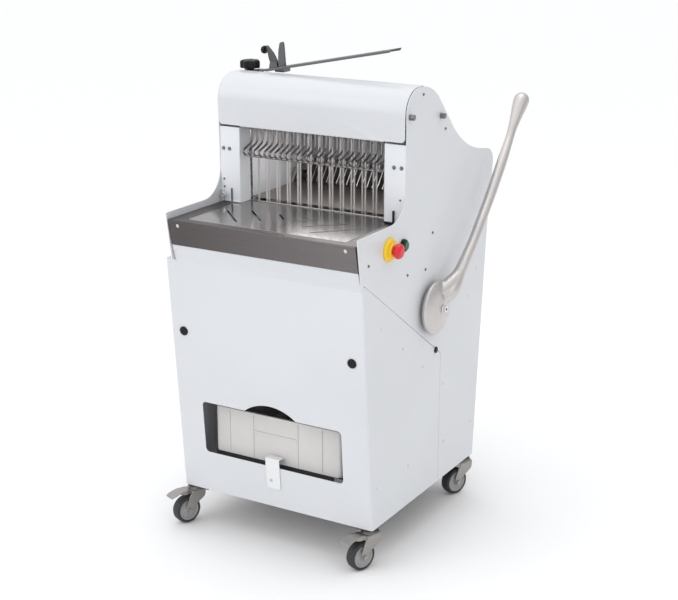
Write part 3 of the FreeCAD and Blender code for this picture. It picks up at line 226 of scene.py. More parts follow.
M = {
    "enamel": paint("cabinet_enamel", (0.655, 0.67, 0.695), coat=0.10),
    # painted light: the jambs take a lighter copy of the cabinet enamel
    "jamb": paint("jamb_enamel_painted_light", (0.78, 0.80, 0.83), coat=0.15),
    "table": brushed("table_steel", (0.30, 0.285, 0.28), "x", (0.13, 0.22)),
    # painted reflection: the apron's dark tone, darker on the left and brighter on the right, stands in for what the
    # steel reflects
    "apron": painted_reflection_gradient("apron_steel", (0.165, 0.15, 0.15), 0.62, 1.12, -0.25, 0.24, rough=(0.34, 0.46)),
    "lever": metal("lever_cast", (0.58, 0.555, 0.54), (0.30, 0.42), 160.0, 0.10, 0.04),
    "frame": paint("frame_grey", (0.045, 0.045, 0.048), (0.4, 0.5), coat=0.05),
    "steel": metal("bright_steel", (0.60, 0.58, 0.56), (0.22, 0.34)),
    "blade": brushed("blade_steel", (0.80, 0.77, 0.75), "z", (0.30, 0.42), 0.08, 0.35),
    "rod": metal("comb_rod", (0.28, 0.265, 0.26), (0.26, 0.36), 200.0, 0.03),
    "traysteel": metal("tray_steel", (0.15, 0.15, 0.155), (0.28, 0.38), 180.0, 0.05),
    "fingersteel": metal("finger_steel", (0.12, 0.12, 0.125), (0.28, 0.4), 150.0, 0.08),
    "chrome": metal("chrome", (0.72, 0.72, 0.73), (0.08, 0.14), 200.0, 0.02, 0.02),
    "dull": metal("dull_steel", (0.32, 0.31, 0.30), (0.42, 0.55), 160.0, 0.06),
    "deck": metal("deck_steel", (0.23, 0.205, 0.195), (0.30, 0.42), 160.0, 0.06),
    "screw": metal("dark_screw_steel", (0.20, 0.20, 0.21), (0.22, 0.34)),
    "clip": paint("clip_enamel", (0.76, 0.77, 0.78), (0.16, 0.24), coat=0.5),
    "iron": metal("grey_iron", (0.25, 0.25, 0.26), (0.45, 0.6), 150.0, 0.2),
    "motor": paint("motor_enamel", (0.10, 0.14, 0.20), (0.35, 0.45)),
    "white_plastic": plastic("guide_plastic", (0.75, 0.74, 0.70)),
    "black": plastic("black_plastic", (0.010, 0.009, 0.010), (0.24, 0.36), spec=0.22),
    "belt": plastic("belt_rubber", (0.02, 0.02, 0.02), (0.6, 0.75), 300.0, 0.2),
    "crate": plastic("crate_plastic", (0.62, 0.60, 0.59), (0.42, 0.55), 300.0, 0.05, 0.03),
    "yellow": plastic("yellow_plastic", (0.86, 0.56, 0.01), (0.25, 0.35), 300.0, 0.04, 0.03),
    "red": plastic("red_plastic", (0.70, 0.015, 0.03), (0.18, 0.28), 300.0, 0.03, 0.03),
    "green": plastic("green_plastic", (0.0, 0.085, 0.03), (0.18, 0.28), 300.0, 0.03, 0.03),
    "zinc": metal("zinc_plate", (0.36, 0.342, 0.325), (0.28, 0.42), 120.0, 0.12, 0.10),
    "wheel": plastic("wheel_grey", (0.33, 0.33, 0.335), (0.4, 0.55), 260.0, 0.08),
    "tyre": plastic("tyre_rubber", (0.030, 0.030, 0.032), (0.55, 0.7), 260.0, 0.15),
}


# ---------------------------------------------------------------- mesh helpers
def add(name, me, mat, body, replaces=(), smooth=35.0, weighted=True):
    o = bpy.data.objects.new(name, me)
    bpy.context.scene.collection.objects.link(o)
    if mat is not None:
        me.materials.clear()
        me.materials.append(mat)
    if smooth is not None:
        me.polygons.foreach_set("use_smooth", [True] * len(me.polygons))
        me.set_sharp_from_angle(angle=math.radians(smooth))
        if weighted:
            w = o.modifiers.new("normals", "WEIGHTED_NORMAL")
            w.keep_sharp = True
            w.weight = 80
    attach(o, body)
    if replaces:
        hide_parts(*([replaces] if isinstance(replaces, str) else replaces))
    return o


def from_bm(bm, name):
    bmesh.ops.recalc_face_normals(bm, faces=bm.faces[:])
    me = bpy.data.meshes.new(name)
    bm.to_mesh(me)
    bm.free()
    return me


def rounded(pts, n=8, closed=True):
    """Polygon points with corner radii to a dense list of points."""
    out = []
    m = len(pts)
    for i in range(m):
        p = pts[i]
        x, y = p[0], p[1]
        r = p[2] if len(p) > 2 else 0
        if r <= 0 or (not closed and i in (0, m - 1)):
            out.append((x, y))
            continue
        a = pts[i - 1]
        b = pts[(i + 1) % m]
        u = Vector((a[0] - x, a[1] - y)).normalized()
        v = Vector((b[0] - x, b[1] - y)).normalized()
        half = math.acos(max(-1, min(1, u.dot(v)))) / 2
        tl = r / math.tan(half)
        w = (u + v).normalized()
        c = Vector((x, y)) + w * (r / math.sin(half))
        p0 = Vector((x, y)) + u * tl
        p1 = Vector((x, y)) + v * tl
        a0 = math.atan2(p0.y - c.y, p0.x - c.x)
        a1 = math.atan2(p1.y - c.y, p1.x - c.x)
        d = (a1 - a0 + math.pi) % (2 * math.pi) - math.pi
        k = max(2, int(abs(d) / math.radians(90 / n)) + 1, int(abs(d) * r / 9))
        for j in range(k + 1):
            t = a0 + d * j / k
            out.append((c.x + math.cos(t) * r, c.y + math.sin(t) * r))
    return out


def flat(outer, holes, t, bev, nb=2):
    """A flat plate from 2D outlines in mm, local z from 0 down to -t, with rounded edges; returns a bmesh in mm."""
    cu = bpy.data.curves.new("tmp_plate", "CURVE")
    cu.dimensions = "2D"
    cu.fill_mode = "BOTH"
    cu.extrude = t / 2 - bev
    cu.bevel_depth = bev
    cu.bevel_resolution = nb
    cu.offset = -bev
    for lp in [outer] + list(holes):
        sp = cu.splines.new("POLY")
        sp.points.add(len(lp) - 1)
        for q, pt in zip(sp.points, lp):
            q.co = (pt[0], pt[1], 0, 1)
        sp.use_cyclic_u = True
    ob = bpy.data.objects.new("tmp_plate", cu)
    bpy.context.scene.collection.objects.link(ob)
    bpy.context.view_layer.update()
    me = bpy.data.meshes.new_from_object(ob.evaluated_get(bpy.context.evaluated_depsgraph_get()))
    bpy.data.objects.remove(ob)
    bpy.data.curves.remove(cu)
    bm = bmesh.new()
    bm.from_mesh(me)
    bpy.data.meshes.remove(me)
    bmesh.ops.remove_doubles(bm, verts=bm.verts[:], dist=0.01)
    for v in bm.verts:
        v.co.z -= t / 2
    return bm


class Path:
    """A profile of straight runs and arcs; at(u) gives the point and the inward normal."""

    def __init__(self, pts, side=1.0):
        self.segs = []
        self.side = side
        m = len(pts)
        last = Vector(pts[0][:2])
        self.cuts = []
        L = 0.0
        for i in range(1, m):
            x, y = pts[i][0], pts[i][1]
            r = pts[i][2] if len(pts[i]) > 2 else 0
            P = Vector((x, y))
            if r > 0 and i < m - 1:
                u = (Vector(pts[i - 1][:2]) - P).normalized()
                v = (Vector(pts[i + 1][:2]) - P).normalized()
                half = math.acos(max(-1, min(1, u.dot(v)))) / 2
                tl = r / math.tan(half)
                w = (u + v).normalized()
                c = P + w * (r / math.sin(half))
                p0 = P + u * tl
                p1 = P + v * tl
                ln = (p0 - last).length
                if ln > 1e-6:
                    self.segs.append(("l", L, L + ln, last.copy(), p0.copy()))
                    L += ln
                a0 = math.atan2(p0.y - c.y, p0.x - c.x)
                a1 = math.atan2(p1.y - c.y, p1.x - c.x)
                d = (a1 - a0 + math.pi) % (2 * math.pi) - math.pi
                ln = abs(d) * r
                self.segs.append(("a", L, L + ln, c, r, a0, d))
                k = max(6, int(abs(d) / math.radians(5)))
                self.cuts += [L + ln * j / k for j in range(k + 1)]
                L += ln
                last = p1
            else:
                ln = (P - last).length
                self.segs.append(("l", L, L + ln, last.copy(), P.copy()))
                L += ln
                last = P
        self.length = L

    def at(self, u):
        for s in self.segs:
            if u <= s[2] + 1e-9 or s is self.segs[-1]:
                break
        if s[0] == "l":
            d = (s[4] - s[3]).normalized()
            p = s[3] + d * (u - s[1])
        else:
            t = s[5] + s[6] * (u - s[1]) / (s[2] - s[1])
            p = s[3] + Vector((math.cos(t), math.sin(t))) * s[4]
            d = Vector((-math.sin(t), math.cos(t))) * (1 if s[6] > 0 else -1)
        return p, Vector((-d.y, d.x)) * self.side

    def u_at(self, x, y):
        best = None
        for s in self.segs:
            k = 1 if s[0] == "l" else 24
            for j in range(k):
                if s[0] == "l":
                    d = s[4] - s[3]
                    t = max(0, min(1, (Vector((x, y)) - s[3]).dot(d) / d.length_squared))
                    q = s[3] + d * t
                    u = s[1] + d.length * t
                else:
                    u = s[1] + (s[2] - s[1]) * j / (k - 1)
                    q = self.at(u)[0]
                e = (q - Vector((x, y))).length
                if best is None or e < best[0]:
                    best = (e, u)
        return best[1]


def folded(name, path, outer, holes, t, bev, place, extra_cuts=()):
    """Cuts a flat pattern in (u, v), then folds it round the path. place(p2, n2, v, depth) gives design mm."""
    bm = flat(outer, holes, t, bev)
    for c in list(path.cuts) + list(extra_cuts):
        g = bm.verts[:] + bm.edges[:] + bm.faces[:]
        bmesh.ops.bisect_plane(bm, geom=g, plane_co=(c, 0, 0), plane_no=(1, 0, 0), dist=1e-4)
    for v in bm.verts:
        u, w, dep = v.co.x, v.co.y, -v.co.z
        p, n = path.at(u)
        v.co = place(p, n, w, dep)
    return from_bm(bm, name)


def plate_yz(name, outer, holes, x_out, t, bev, inward):
    """A flat plate in the YZ plane; x_out is its outer face, inward is +1 or -1 along x."""
    bm = flat(outer, holes, t, bev)
    for v in bm.verts:
        y, z, dep = v.co.x, v.co.y, -v.co.z
        v.co = V(x_out + inward * dep, y, z)
    return from_bm(bm, name)


def plate_fn(name, outer, holes, t, bev, fn):
    bm = flat(outer, holes, t, bev)
    for v in bm.verts:
        v.co = fn(v.co.x, v.co.y, -v.co.z)
    return from_bm(bm, name)


def circle(cx, cy, r, n=32):
    return [(cx + r * math.cos(2 * math.pi * i / n), cy + r * math.sin(2 * math.pi * i / n)) for i in range(n)]


def basis(axis):
    a = Vector(axis).normalized()
    h = Vector((0, 0, 1)) if abs(a.z) < 0.9 else Vector((1, 0, 0))
    u = h.cross(a).normalized()
    w = a.cross(u)
    return a, u, w


def lathe_bm(bm, prof, centre, axis, segs=48, fn=None):
    """Turns (h, r) points about axis through centre (design mm); r may be 0 at the ends."""
    a, u, w = basis(axis)
    c = Vector(centre)
    rings = []
    for h, r in prof:
        if r < 1e-6:
            rings.append([bm.verts.new(V(*(c + a * h)))])
        else:
            ring = []
            for i in range(segs):
                t = 2 * math.pi * i / segs
                rr = r if fn is None else fn(h, r, t)
                ring.append(bm.verts.new(V(*(c + a * h + u * (rr * math.cos(t)) + w * (rr * math.sin(t))))))
            rings.append(ring)
    for p, q in zip(rings, rings[1:]):
        if len(p) == 1 and len(q) == 1:
            continue
        for i in range(segs):
            j = (i + 1) % segs
            if len(p) == 1:
                bm.faces.new((p[0], q[i], q[j]))
            elif len(q) == 1:
                bm.faces.new((p[i], q[0], p[j]))
            else:
                bm.faces.new((p[i], q[i], q[j], p[j]))
    return rings


def lathe(name, prof, centre, axis, segs=48, fn=None, closed=False):
    bm = bmesh.new()
    if prof[0][1] > 1e-6 and math.dist(prof[0][:2], prof[-1][:2]) < 1e-6:
        prof, closed = prof[:-1], True
    rings = lathe_bm(bm, prof, centre, axis, segs, fn)
    if closed:
        p, q = rings[-1], rings[0]
        for i in range(segs):
            j = (i + 1) % segs
            bm.faces.new((p[i], q[i], q[j], p[j]))
    return from_bm(bm, name)


def prof_round(pts, n=5):
    """(h, r, radius) corners of an open lathe profile to points."""
    return rounded(pts, n, closed=False)


def join(bms_or_meshes, name):
    bm = bmesh.new()
    for me in bms_or_meshes:
        bm.from_mesh(me)
        bpy.data.meshes.remove(me)
    me = bpy.data.meshes.new(name)
    bm.to_mesh(me)
    bm.free()
    return me


def wires(name, paths, r, res=5):
    """Round rods along point lists (design mm, already smooth), as one mesh."""
    cu = bpy.data.curves.new(name, "CURVE")
    cu.dimensions = "3D"
    cu.bevel_depth = r * MM
    cu.bevel_resolution = res
    cu.use_fill_caps = True
    for pts in paths:
        sp = cu.splines.new("POLY")
        sp.points.add(len(pts) - 1)
        for q, p in zip(sp.points, pts):
            v = V(*p)
            q.co = (v.x, v.y, v.z, 1)
    ob = bpy.data.objects.new(name, cu)
    bpy.context.scene.collection.objects.link(ob)
    bpy.context.view_layer.update()
    me = bpy.data.meshes.new_from_object(ob.evaluated_get(bpy.context.evaluated_depsgraph_get()))
    bpy.data.objects.remove(ob)
    bpy.data.curves.remove(cu)
    return me


def bend3(points, n=6):
    """Points (x, y, z, radius) to a smooth list with tangent arcs."""
    out = []
    m = len(points)
    for i, q in enumerate(points):
        P = Vector(q[:3])
        r = q[3] if len(q) > 3 else 0
        if r <= 0 or i in (0, m - 1):
            out.append(tuple(P))
            continue
        u = (Vector(points[i - 1][:3]) - P).normalized()
        v = (Vector(points[i + 1][:3]) - P).normalized()
        half = u.angle(v) / 2
        tl = r / math.tan(half)
        w = (u + v).normalized()
        c = P + w * (r / math.sin(half))
        a = (P + u * tl) - c
        b = (P + v * tl) - c
        ang = a.angle(b)
        for j in range(n + 1):
            t = j / n
            s = math.sin(ang)
            out.append(tuple(c + a * (math.sin((1 - t) * ang) / s) + b * (math.sin(t * ang) / s)))
    return out


def bevel_mod(o, w, segs=2, angle=30):
    b = o.modifiers.new("edge", "BEVEL")
    b.width = w * MM
    b.segments = segs
    b.limit_method = "ANGLE"
    b.angle_limit = math.radians(angle)
    b.harden_normals = False
    # the bevel comes before the normals
    while o.modifiers.find("edge") > 0:
        o.modifiers.move(o.modifiers.find("edge"), o.modifiers.find("edge") - 1)
    return b


# ---------------------------------------------------------------- carried-over nodes: a finish for each
LOOK = {
    "base_frame": "frame", "castor_stems": "zinc", "rear_panel": "enamel", "loading_deck": "deck", "deck_subframe": "frame",
    "hinge_pins": "steel", "motor": "motor", "drive_belt": "belt", "flange_bearings": "iron", "frame_guides": "white_plastic",
    "crate_runners": "frame", "panel_screws": "steel", "side_stops": "chrome", "tray_pedestal": "steel",
    "lever_shaft": "chrome", "pusher_comb": "dull", "front_knife_frame": "steel", "rear_knife_frame": "steel",
    "front_connecting_rod": "steel", "rear_connecting_rod": "steel", "crankshaft": "steel", "crank_pulley": "iron", "motor_pulley": "iron",
    "right_side_panel": "enamel", "left_side_panel": "enamel", "front_cover": "enamel", "hood_cover": "enamel", "top_rear_cover": "enamel",
    "rear_lid": "enamel", "opening_jambs": "jamb", "table_frame": "apron", "table_insert": "table", "hand_lever": "lever",
    "front_blades": "blade", "rear_blades": "blade", "hold_down_comb": "rod", "bagging_tray": "steel", "crate_clip": "clip",
    "cover_locks": "black", "start_bezel": "black", "star_knob": "black", "clamp_finger": "black", "crumb_crate": "crate",
    "estop_base": "yellow", "estop_button": "red", "start_button": "green",
}
for n, o in NODES.items():
    key = LOOK.get(n)
    if key is None:
        key = "zinc" if n.startswith(("castor_fork", "brake")) else "wheel" if n.startswith("wheel_rim") else "tyre"
    o.data.materials.clear()
    o.data.materials.append(M[key])

# ---------------------------------------------------------------- sheet metal
def offset_pts(pts, t):
    p = [(q[0], q[1], q[2] if len(q) > 2 else 0.0) for q in pts]
    n = len(p)
    nor = []
    for i in range(n - 1):
        dx, dy = p[i + 1][0] - p[i][0], p[i + 1][1] - p[i][1]
        ln = math.hypot(dx, dy)
        nor.append((-dy / ln, dx / ln))
    out = []
    for i in range(n):
        if i == 0:
            out.append((p[0][0] + nor[0][0] * t, p[0][1] + nor[0][1] * t))
        elif i == n - 1:
            out.append((p[i][0] + nor[-1][0] * t, p[i][1] + nor[-1][1] * t))
        else:
            a, b = nor[i - 1], nor[i]
            k = t / (1 + a[0] * b[0] + a[1] * b[1])
            turn = a[0] * b[1] - a[1] * b[0]
            out.append((p[i][0] + (a[0] + b[0]) * k, p[i][1] + (a[1] + b[1]) * k, p[i][2] - t if turn > 0 else p[i][2] + t))
    return out


CHEEK_TOP = [(-66, 800, 2), (-87.5, 932.5, 5), (170, 932.5, 82), (163.5, 1266.5, 66), (308, 1266.5, 148),
             (503, 1066, 330), (706, 1030.5, 42), (673, 800, 90)]
right_out = rounded(CHEEK_TOP + [(615, 113, 2), (386, 113, 1), (386, 503, 3), (-50, 806, 2)])
me = plate_yz("right_side_panel_sheet", right_out, [circle(318, 656, 14.5), circle(76, 872, 11.6), circle(151, 867, 12.6)], 307.5, 3, 0.9, -1)
add("right_side_panel_sheet", me, M["enamel"], "chassis", "right_side_panel")
left_out = rounded(CHEEK_TOP + [(617, 137, 2), (6, 137, 2), (-48.5, 797, 2)])
me = plate_yz("left_side_panel_sheet", left_out, [], -278.5, 3, 0.9, 1)
add("left_side_panel_sheet", me, M["enamel"], "chassis", "left_side_panel")

# front cover: one sheet folded round both front corners, with the window cut out
fp = Path([(-307.5, 740), (-307.5, 0, 8), (307.5, 0, 8), (307.5, 470)])
U0 = fp.u_at(0, 0)


def cover_place(p, n, v, dep):
    return V(p.x + n.x * dep, p.y + n.y * dep - LEAN * (v - 113), v)


ur = lambda y, z: fp.u_at(307.5, y + LEAN * (z - 113))
cover_out = rounded([(740 - 613, 113, 2), (ur(384.5, 113), 113, 1), (ur(384.5, 502.2), 502.2, 3), (fp.u_at(307.5, 9), 803.2, 1),
                     (U0 + 299.6, 803.2), (U0 + 299.6, 790.3), (U0 - 273.8, 790.3), (U0 - 273.8, 797), (14.5, 797, 2)])
R_s = (82.0 ** 2 + 28.6 ** 2) / (2 * 28.6)
scoop = []
half_a = math.asin(82.0 / R_s)
for i in range(25):
    t = half_a - 2 * half_a * i / 24
    scoop.append((U0 + R_s * math.sin(t), 417.1 - R_s + R_s * math.cos(t)))
window = rounded([(U0 - 82, 388.5), (U0 - 223, 388.5, 12), (U0 - 223, 235, 12), (U0 + 223, 235, 12), (U0 + 223, 388.5, 12), (U0 + 82, 388.5)], closed=False)[1:-1] + scoop
me1 = folded("front_cover_sheet", fp, cover_out, [window], 2, 0.6, cover_place)
lp = Path([(-54.93, 790), (-55.5, 797, 14), (-68.6, 842.2)], -1.0)
lip_out = rounded([(0, -273.8, 1), (lp.length, -273.8, 2), (lp.length, 299.4, 2), (0, 299.4, 1)])
me2 = folded("lip", lp, lip_out, [], 2, 0.6, lambda p, n, v, dep: V(v, p.x + n.x * dep, p.y + n.y * dep))
me3 = plate_fn("step", rounded([(-307.2, -50), (-279.4, -52), (-279.4, 668, 2), (-307.2, 668, 4)]), [], 2, 0.5, lambda x, y, d: V(x, y, 797 - d))
add("front_cover_sheet", join([me1, me2, me3], "front_cover_sheet"), M["enamel"], "chassis", "front_cover")

# hood: face, rolled top and the return lip over the opening
hp = Path([(176, 1130.2), (162, 1130.2, 2.6), (162, 1268, 68.5), (264.2, 1268)], -1.0)
uf0 = hp.u_at(162, 1132.9) - 0.6
hood_out = rounded([(0, -206, 3), (uf0, -206), (uf0, -274.3, 12), (hp.length, -274.3, 2), (hp.length, 303.3, 2), (uf0, 303.3, 12), (uf0, 241), (0, 241, 3)])
yz = lambda p, n, v, dep: V(v, p.x + n.x * dep, p.y + n.y * dep)
hm = [folded("hood", hp, hood_out, [], 2, 0.6, yz)]
for a, s in ((-272.0, 1), (301.0, -1)):
    tab = [(262 + 6.5 * math.cos(t), 1261 + 6.5 * math.sin(t)) for t in [math.pi / 2 - math.pi * 1.5 * i / 20 for i in range(21)]] + [(240, 1261), (240, 1266)]
    hm.append(plate_yz("ear", rounded([(q[0], q[1]) for q in tab]), [circle(262, 1261, 3.06, 24)], a, 3, 0.3, s))
add("hood_cover_sheet", join(hm, "hood_cover_sheet"), M["enamel"], "hood", "hood_cover")

# rear top cover and the lid behind it
tp = Path([(245.6, 1265.5), (307.6, 1265.5, 147), (425, 1144.9)], -1.0)
me = folded("rear_top", tp, rounded([(tp.u_at(270.2, 1263.4), -275.2, 2), (tp.length, -275.2, 2), (tp.length, 304.2, 2), (tp.u_at(270.2, 1263.4), 304.2, 2)]), [], 2, 0.6, yz)
add("top_rear_cover_sheet", me, M["enamel"], "chassis", "top_rear_cover")
lpts = offset_pts([(308, 1266.5), (503, 1066, 330), (706, 1030.5, 42), (673, 800)], -1.5)
dp = Path([lpts[0], lpts[1], lpts[2], (685.8, 903)], -1.0)
u1 = dp.u_at(432.5, 1137.6)
lm = [folded("lid", dp, rounded([(u1 + 7, -274.9, 1), (u1 + 7, -260.4), (u1, -260.4, 1), (u1, 289.4, 1), (u1 + 7, 289.4), (u1 + 7, 303.9, 1), (dp.length, 303.9, 4), (dp.length, -274.9, 4)]), [], 2, 0.6, yz)]
gp = Path([(688.0, 926.5), (711, 926.5, 6), (711, 943, 6), (690.4, 943)], -1.0)
lm.append(folded("grip", gp, rounded([(0, XC - 60, 3), (gp.length, XC - 60, 3), (gp.length, XC + 60, 3), (0, XC + 60, 3)]), [], 2.5, 0.8, lambda p, n, v, dep: V(v, p.x - n.x * dep * 0.0 + n.x * dep, p.y + n.y * dep)))
for a, s in ((-272.0, 1), (301.0, -1)):
    tab = [(434.5 + 5.5 * math.cos(t), 1131.5 + 5.5 * math.sin(t)) for t in [-math.pi * 0.5 - math.pi * 1.05 * i / 18 for i in range(19)]] + [(445, 1126.5), (444, 1126)]
    lm.append(plate_yz("lid_ear", tab, [circle(434.5, 1131.5, 3.06, 24)], a, 3, 0.3, s))
add("rear_lid_sheet", join(lm, "rear_lid_sheet"), M["enamel"], "lid", "rear_lid")

# table frame with the apron folded down at the front
ap = Path([(219, 915), (-86.3, 915, 2.4), (-70.9, 843, 1.8), (-62.5, 843.6)])
table_out = rounded([(0, -271.5, 2), (ap.length, -271.5, 1), (ap.length, 300.5, 1), (0, 300.5, 2)])
table_hole = rounded([(4, -212, 2), (64.5, -212), (64.5, XC - 243.7, 2), (219 + 58.5, XC - 243.7, 7), (219 + 58.5, XC + 243.7, 7), (64.5, XC + 243.7, 2), (64.5, 242), (4, 242, 2)])
me = folded("table_frame_sheet", ap, table_out, [table_hole], 2, 0.6, yz)
add("table_frame_sheet", me, M["apron"], "chassis", "table_frame")

ip = Path([(213.4, 917.4), (213.4, 915, 1.8), (-57, 915)])
uy = lambda y: ip.u_at(y, 915)
slots = []
for (a, b_) in (((-211, 80), (-113, -18)), ((-150, 110), (-65, 25)), ((-62, 112), (-22, 70))):
    for s in (1, -1):
        p0 = Vector((uy(a[1]), s * a[0] + XC))
        p1 = Vector((uy(b_[1]), s * b_[0] + XC))
        d = (p1 - p0).normalized()
        q = Vector((-d.y, d.x)) * 2.8
        slots.append(rounded([(*(p0 + q), 2.7), (*(p1 + q), 2.7), (*(p1 - q), 2.7), (*(p0 - q), 2.7)]))
me = folded("table_insert_sheet", ip, rounded([(0, -210.5, 1), (uy(153), -210.5), (uy(153), XC - 242.2, 2), (ip.length, XC - 242.2, 6), (ip.length, XC + 242.2, 6), (uy(153), XC + 242.2, 2), (uy(153), 240.5), (0, 240.5, 1)]), slots, 2, 0.6, yz)
add("table_insert_sheet", me, M["table"], "chassis", "table_insert")

# uprights beside the opening
xy = lambda p, n, v, dep: V(p.x + n.x * dep, p.y + n.y * dep, v)
jm = []
for a, b_, s in ((-275.2, XC - 226, 1.0), (304.2, XC + 226, -1.0)):
    jp = Path([(a, 168), (b_, 168, 2.2), (b_, 219)], s)
    ub = jp.u_at(b_, 178)
    hl = []
    if s > 0:
        hl = [circle(275.2 - 264, 979, 2.2, 16), circle(275.2 - 264, 957, 2.2, 16)]
    jm.append(folded("jamb", jp, rounded([(0, 915.3, 2), (jp.length, 915.3, 2), (jp.length, 1235, 2), (ub, 1235, 2), (ub, 1126), (0, 1126, 3)]), hl, 2, 0.6, xy))
add("opening_jamb_sheets", join(jm, "opening_jamb_sheets"), M["jamb"], "chassis", "opening_jambs")

# ---------------------------------------------------------------- hand lever: one smooth casting
PY, PZ = 318.0, 656.0


def remeshed(bm_parts, name, voxel, smooth_iter, factor=0.5):
    """Closed shells to one skin: voxel remesh, then a light smoothing that softens the joins as a casting has them."""
    me = join(bm_parts, "tmp")
    o = bpy.data.objects.new("tmp", me)
    bpy.context.scene.collection.objects.link(o)
    r = o.modifiers.new("r", "REMESH")
    r.mode = "VOXEL"
    r.voxel_size = voxel * MM
    s = o.modifiers.new("s", "SMOOTH")
    s.factor = factor
    s.iterations = smooth_iter
    bpy.context.view_layer.update()
    out = bpy.data.meshes.new_from_object(o.evaluated_get(bpy.context.evaluated_depsgraph_get()))
    out.name = name
    bpy.data.objects.remove(o)
    bpy.data.meshes.remove(me)
    return out


def loft(name, secs, segs=40, cap_round=True):
    """Closed skin through circles (x, y, z, r) in design mm; both ends are closed with a flat face."""
    bm = bmesh.new()
    rings = []
    m = len(secs)
    for i, (x, y, z, r) in enumerate(secs):
        a = Vector(secs[max(0, i - 1)][:3])
        b = Vector(secs[min(m - 1, i + 1)][:3])
        ax, u, w = basis(b - a)
        rings.append([bm.verts.new(V(*(Vector((x, y, z)) + (u * math.cos(2 * math.pi * k / segs) + w * math.sin(2 * math.pi * k / segs)) * r))) for k in range(segs)])
    for p, q in zip(rings, rings[1:]):
        for k in range(segs):
            bm.faces.new((p[k], p[(k + 1) % segs], q[(k + 1) % segs], q[k]))
    bm.faces.new(list(reversed(rings[0])))
    bm.faces.new(rings[-1])
    return from_bm(bm, name)


def spline(pts, n):
    """Catmull-Rom through tuples."""
    out = []
    m = len(pts)
    for i in range(m - 1):
        p0, p1, p2, p3 = pts[max(0, i - 1)], pts[i], pts[i + 1], pts[min(m - 1, i + 2)]
        for j in range(n):
            t = j / n
            out.append(tuple(0.5 * ((2 * b) + (-a + c) * t + (2 * a - 5 * b + 4 * c - d) * t * t + (-a + 3 * b - 3 * c + d) * t ** 3) for a, b, c, d in zip(p0, p1, p2, p3)))
    out.append(tuple(pts[-1]))
    return out


dome_prof = spline([(311.8, 0), (311.8, 40), (312, 60), (313.5, 66.5), (317.5, 72), (322, 75.6), (325.5, 76.6), (329, 75.6), (332.5, 70.5), (337, 60.5), (340.5, 49), (342.4, 39), (343.6, 30), (345, 24.5), (345.9, 14), (346.0, 0)], 4)
dome_me = lathe("dome", [(h, max(0, r)) for h, r in dome_prof], (0, PY, PZ), (1, 0, 0), 96)
bulb = []
for i in range(1, 9):
    t = math.pi / 2 * i / 8
    bulb.append((359.5, 769.4 + 22.4 * math.sin(t) * 0.623, 1165.2 + 22.4 * math.sin(t) * 0.782, max(0.6, 22.4 * math.cos(t))))
arm_sec = spline([(326.5, 326, 662, 13), (345, 362.6, 696.4, 23.6), (353, 400.2, 739.5, 17.4), (357, 424.4, 768.7, 15.4), (359.2, 464, 808.4, 14.2), (359.5, 498, 843.8, 14.0),
                  (359.5, 565, 913.2, 14.3), (359.5, 631.1, 989.3, 14.6), (359.5, 661, 1025.5, 14.0), (359.5, 687.8, 1058.9, 12.5), (359.5, 701.5, 1077.8, 12.1),
                  (359.5, 714.2, 1095.5, 13.1), (359.5, 731, 1117, 15.8), (359.5, 751, 1142.5, 20.0), (359.5, 762, 1156.2, 22.0), (359.5, 769.4, 1165.2, 22.4)], 5) + bulb
web1 = loft("web1", spline([(326, 316, 694, 12), (333, 343, 705, 18), (344, 370, 719, 19), (353, 400.2, 739.5, 15.5)], 5))
web2 = loft("web2", spline([(332, 346, 664, 10), (342, 364, 686, 19), (350, 384, 710, 18), (355, 410, 748, 13)], 5))
arm_me = loft("arm", arm_sec)
lev = remeshed([dome_me, arm_me, web1, web2], "hand_lever_cast", 2.2, 10)
add("hand_lever_cast", lev, M["lever"], "lever", "hand_lever", 60, False)


# bolt, washer and shaft end at the hub
def hex_prism(cx, cy, cz, r, h0, h1, axis=(1, 0, 0), dome=0.6):
    bm = bmesh.new()
    c = Vector((cx, cy, cz))
    lathe_bm(bm, [(h0, 0), (h0, r), (h1 - dome, r), (h1, r - dome * 1.4), (h1, 0)], c, axis, 6)
    return from_bm(bm, "hex")


sm = [lathe("w", prof_round([(346.4, 0), (346.4, 12, 0.3), (348.4, 12, 0.5), (348.4, 0)]), (0, PY, PZ), (1, 0, 0), 40),
      hex_prism(0, PY, PZ, 10.2, 348.2, 356.4),
      lathe("e", prof_round([(341, 0), (341, 5), (356.4, 5, 1.0), (356.4, 0)]), (0, PY, PZ), (1, 0, 0), 24),
      lathe("s", prof_round([(-275, 0), (-275, 12.5, 1), (340, 12.5), (340, 0)]), (0, PY, PZ), (1, 0, 0), 48)]
o = add("lever_shaft_turned", join(sm, "lever_shaft_turned"), M["chrome"], "lever", "lever_shaft", 30)

# ---------------------------------------------------------------- controls
EY, EZ = 76.0, 872.0
me = lathe("estop_base_moulded", prof_round([(307.5, 11.4), (307.5, 32, 0.6), (311.2, 32, 1.6), (313.0, 30.0, 1.0), (317.0, 27.5, 2.0), (317.5, 19, 1.2), (322.5, 17, 1.2), (322.5, 11.4, 0.4), (307.5, 11.4)], 6), (0, EY, EZ), (1, 0, 0), 72)
add("estop_base_moulded", me, M["yellow"], "chassis", "estop_base")
me = lathe("estop_mushroom", prof_round([(311, 0), (311, 10.8, 0.4), (327, 10.8, 1.0), (331, 19.2, 1.2), (336.5, 21, 3.2), (343.5, 17.5, 5), (347, 10, 6), (346.4, 0)], 6), (0, EY, EZ), (1, 0, 0), 72)
add("estop_mushroom", me, M["red"], "emergency_stop", "estop_button", 40)
GY, GZ = 151.0, 867.0
me = lathe("start_bezel_turned", prof_round([(307.5, 12.3), (307.5, 17, 0.4), (314, 17, 1.2), (316.5, 15.2, 1.0), (316.5, 12.3, 0.4), (307.5, 12.3)], 5), (0, GY, GZ), (1, 0, 0), 56)
add("start_bezel_turned", me, M["black"], "chassis", "start_bezel")
me = lathe("start_button_cap", prof_round([(310, 0), (310, 12, 0.3), (320.2, 12, 1.4), (321, 8, 2), (320.4, 0)], 5), (0, GY, GZ), (1, 0, 0), 56)
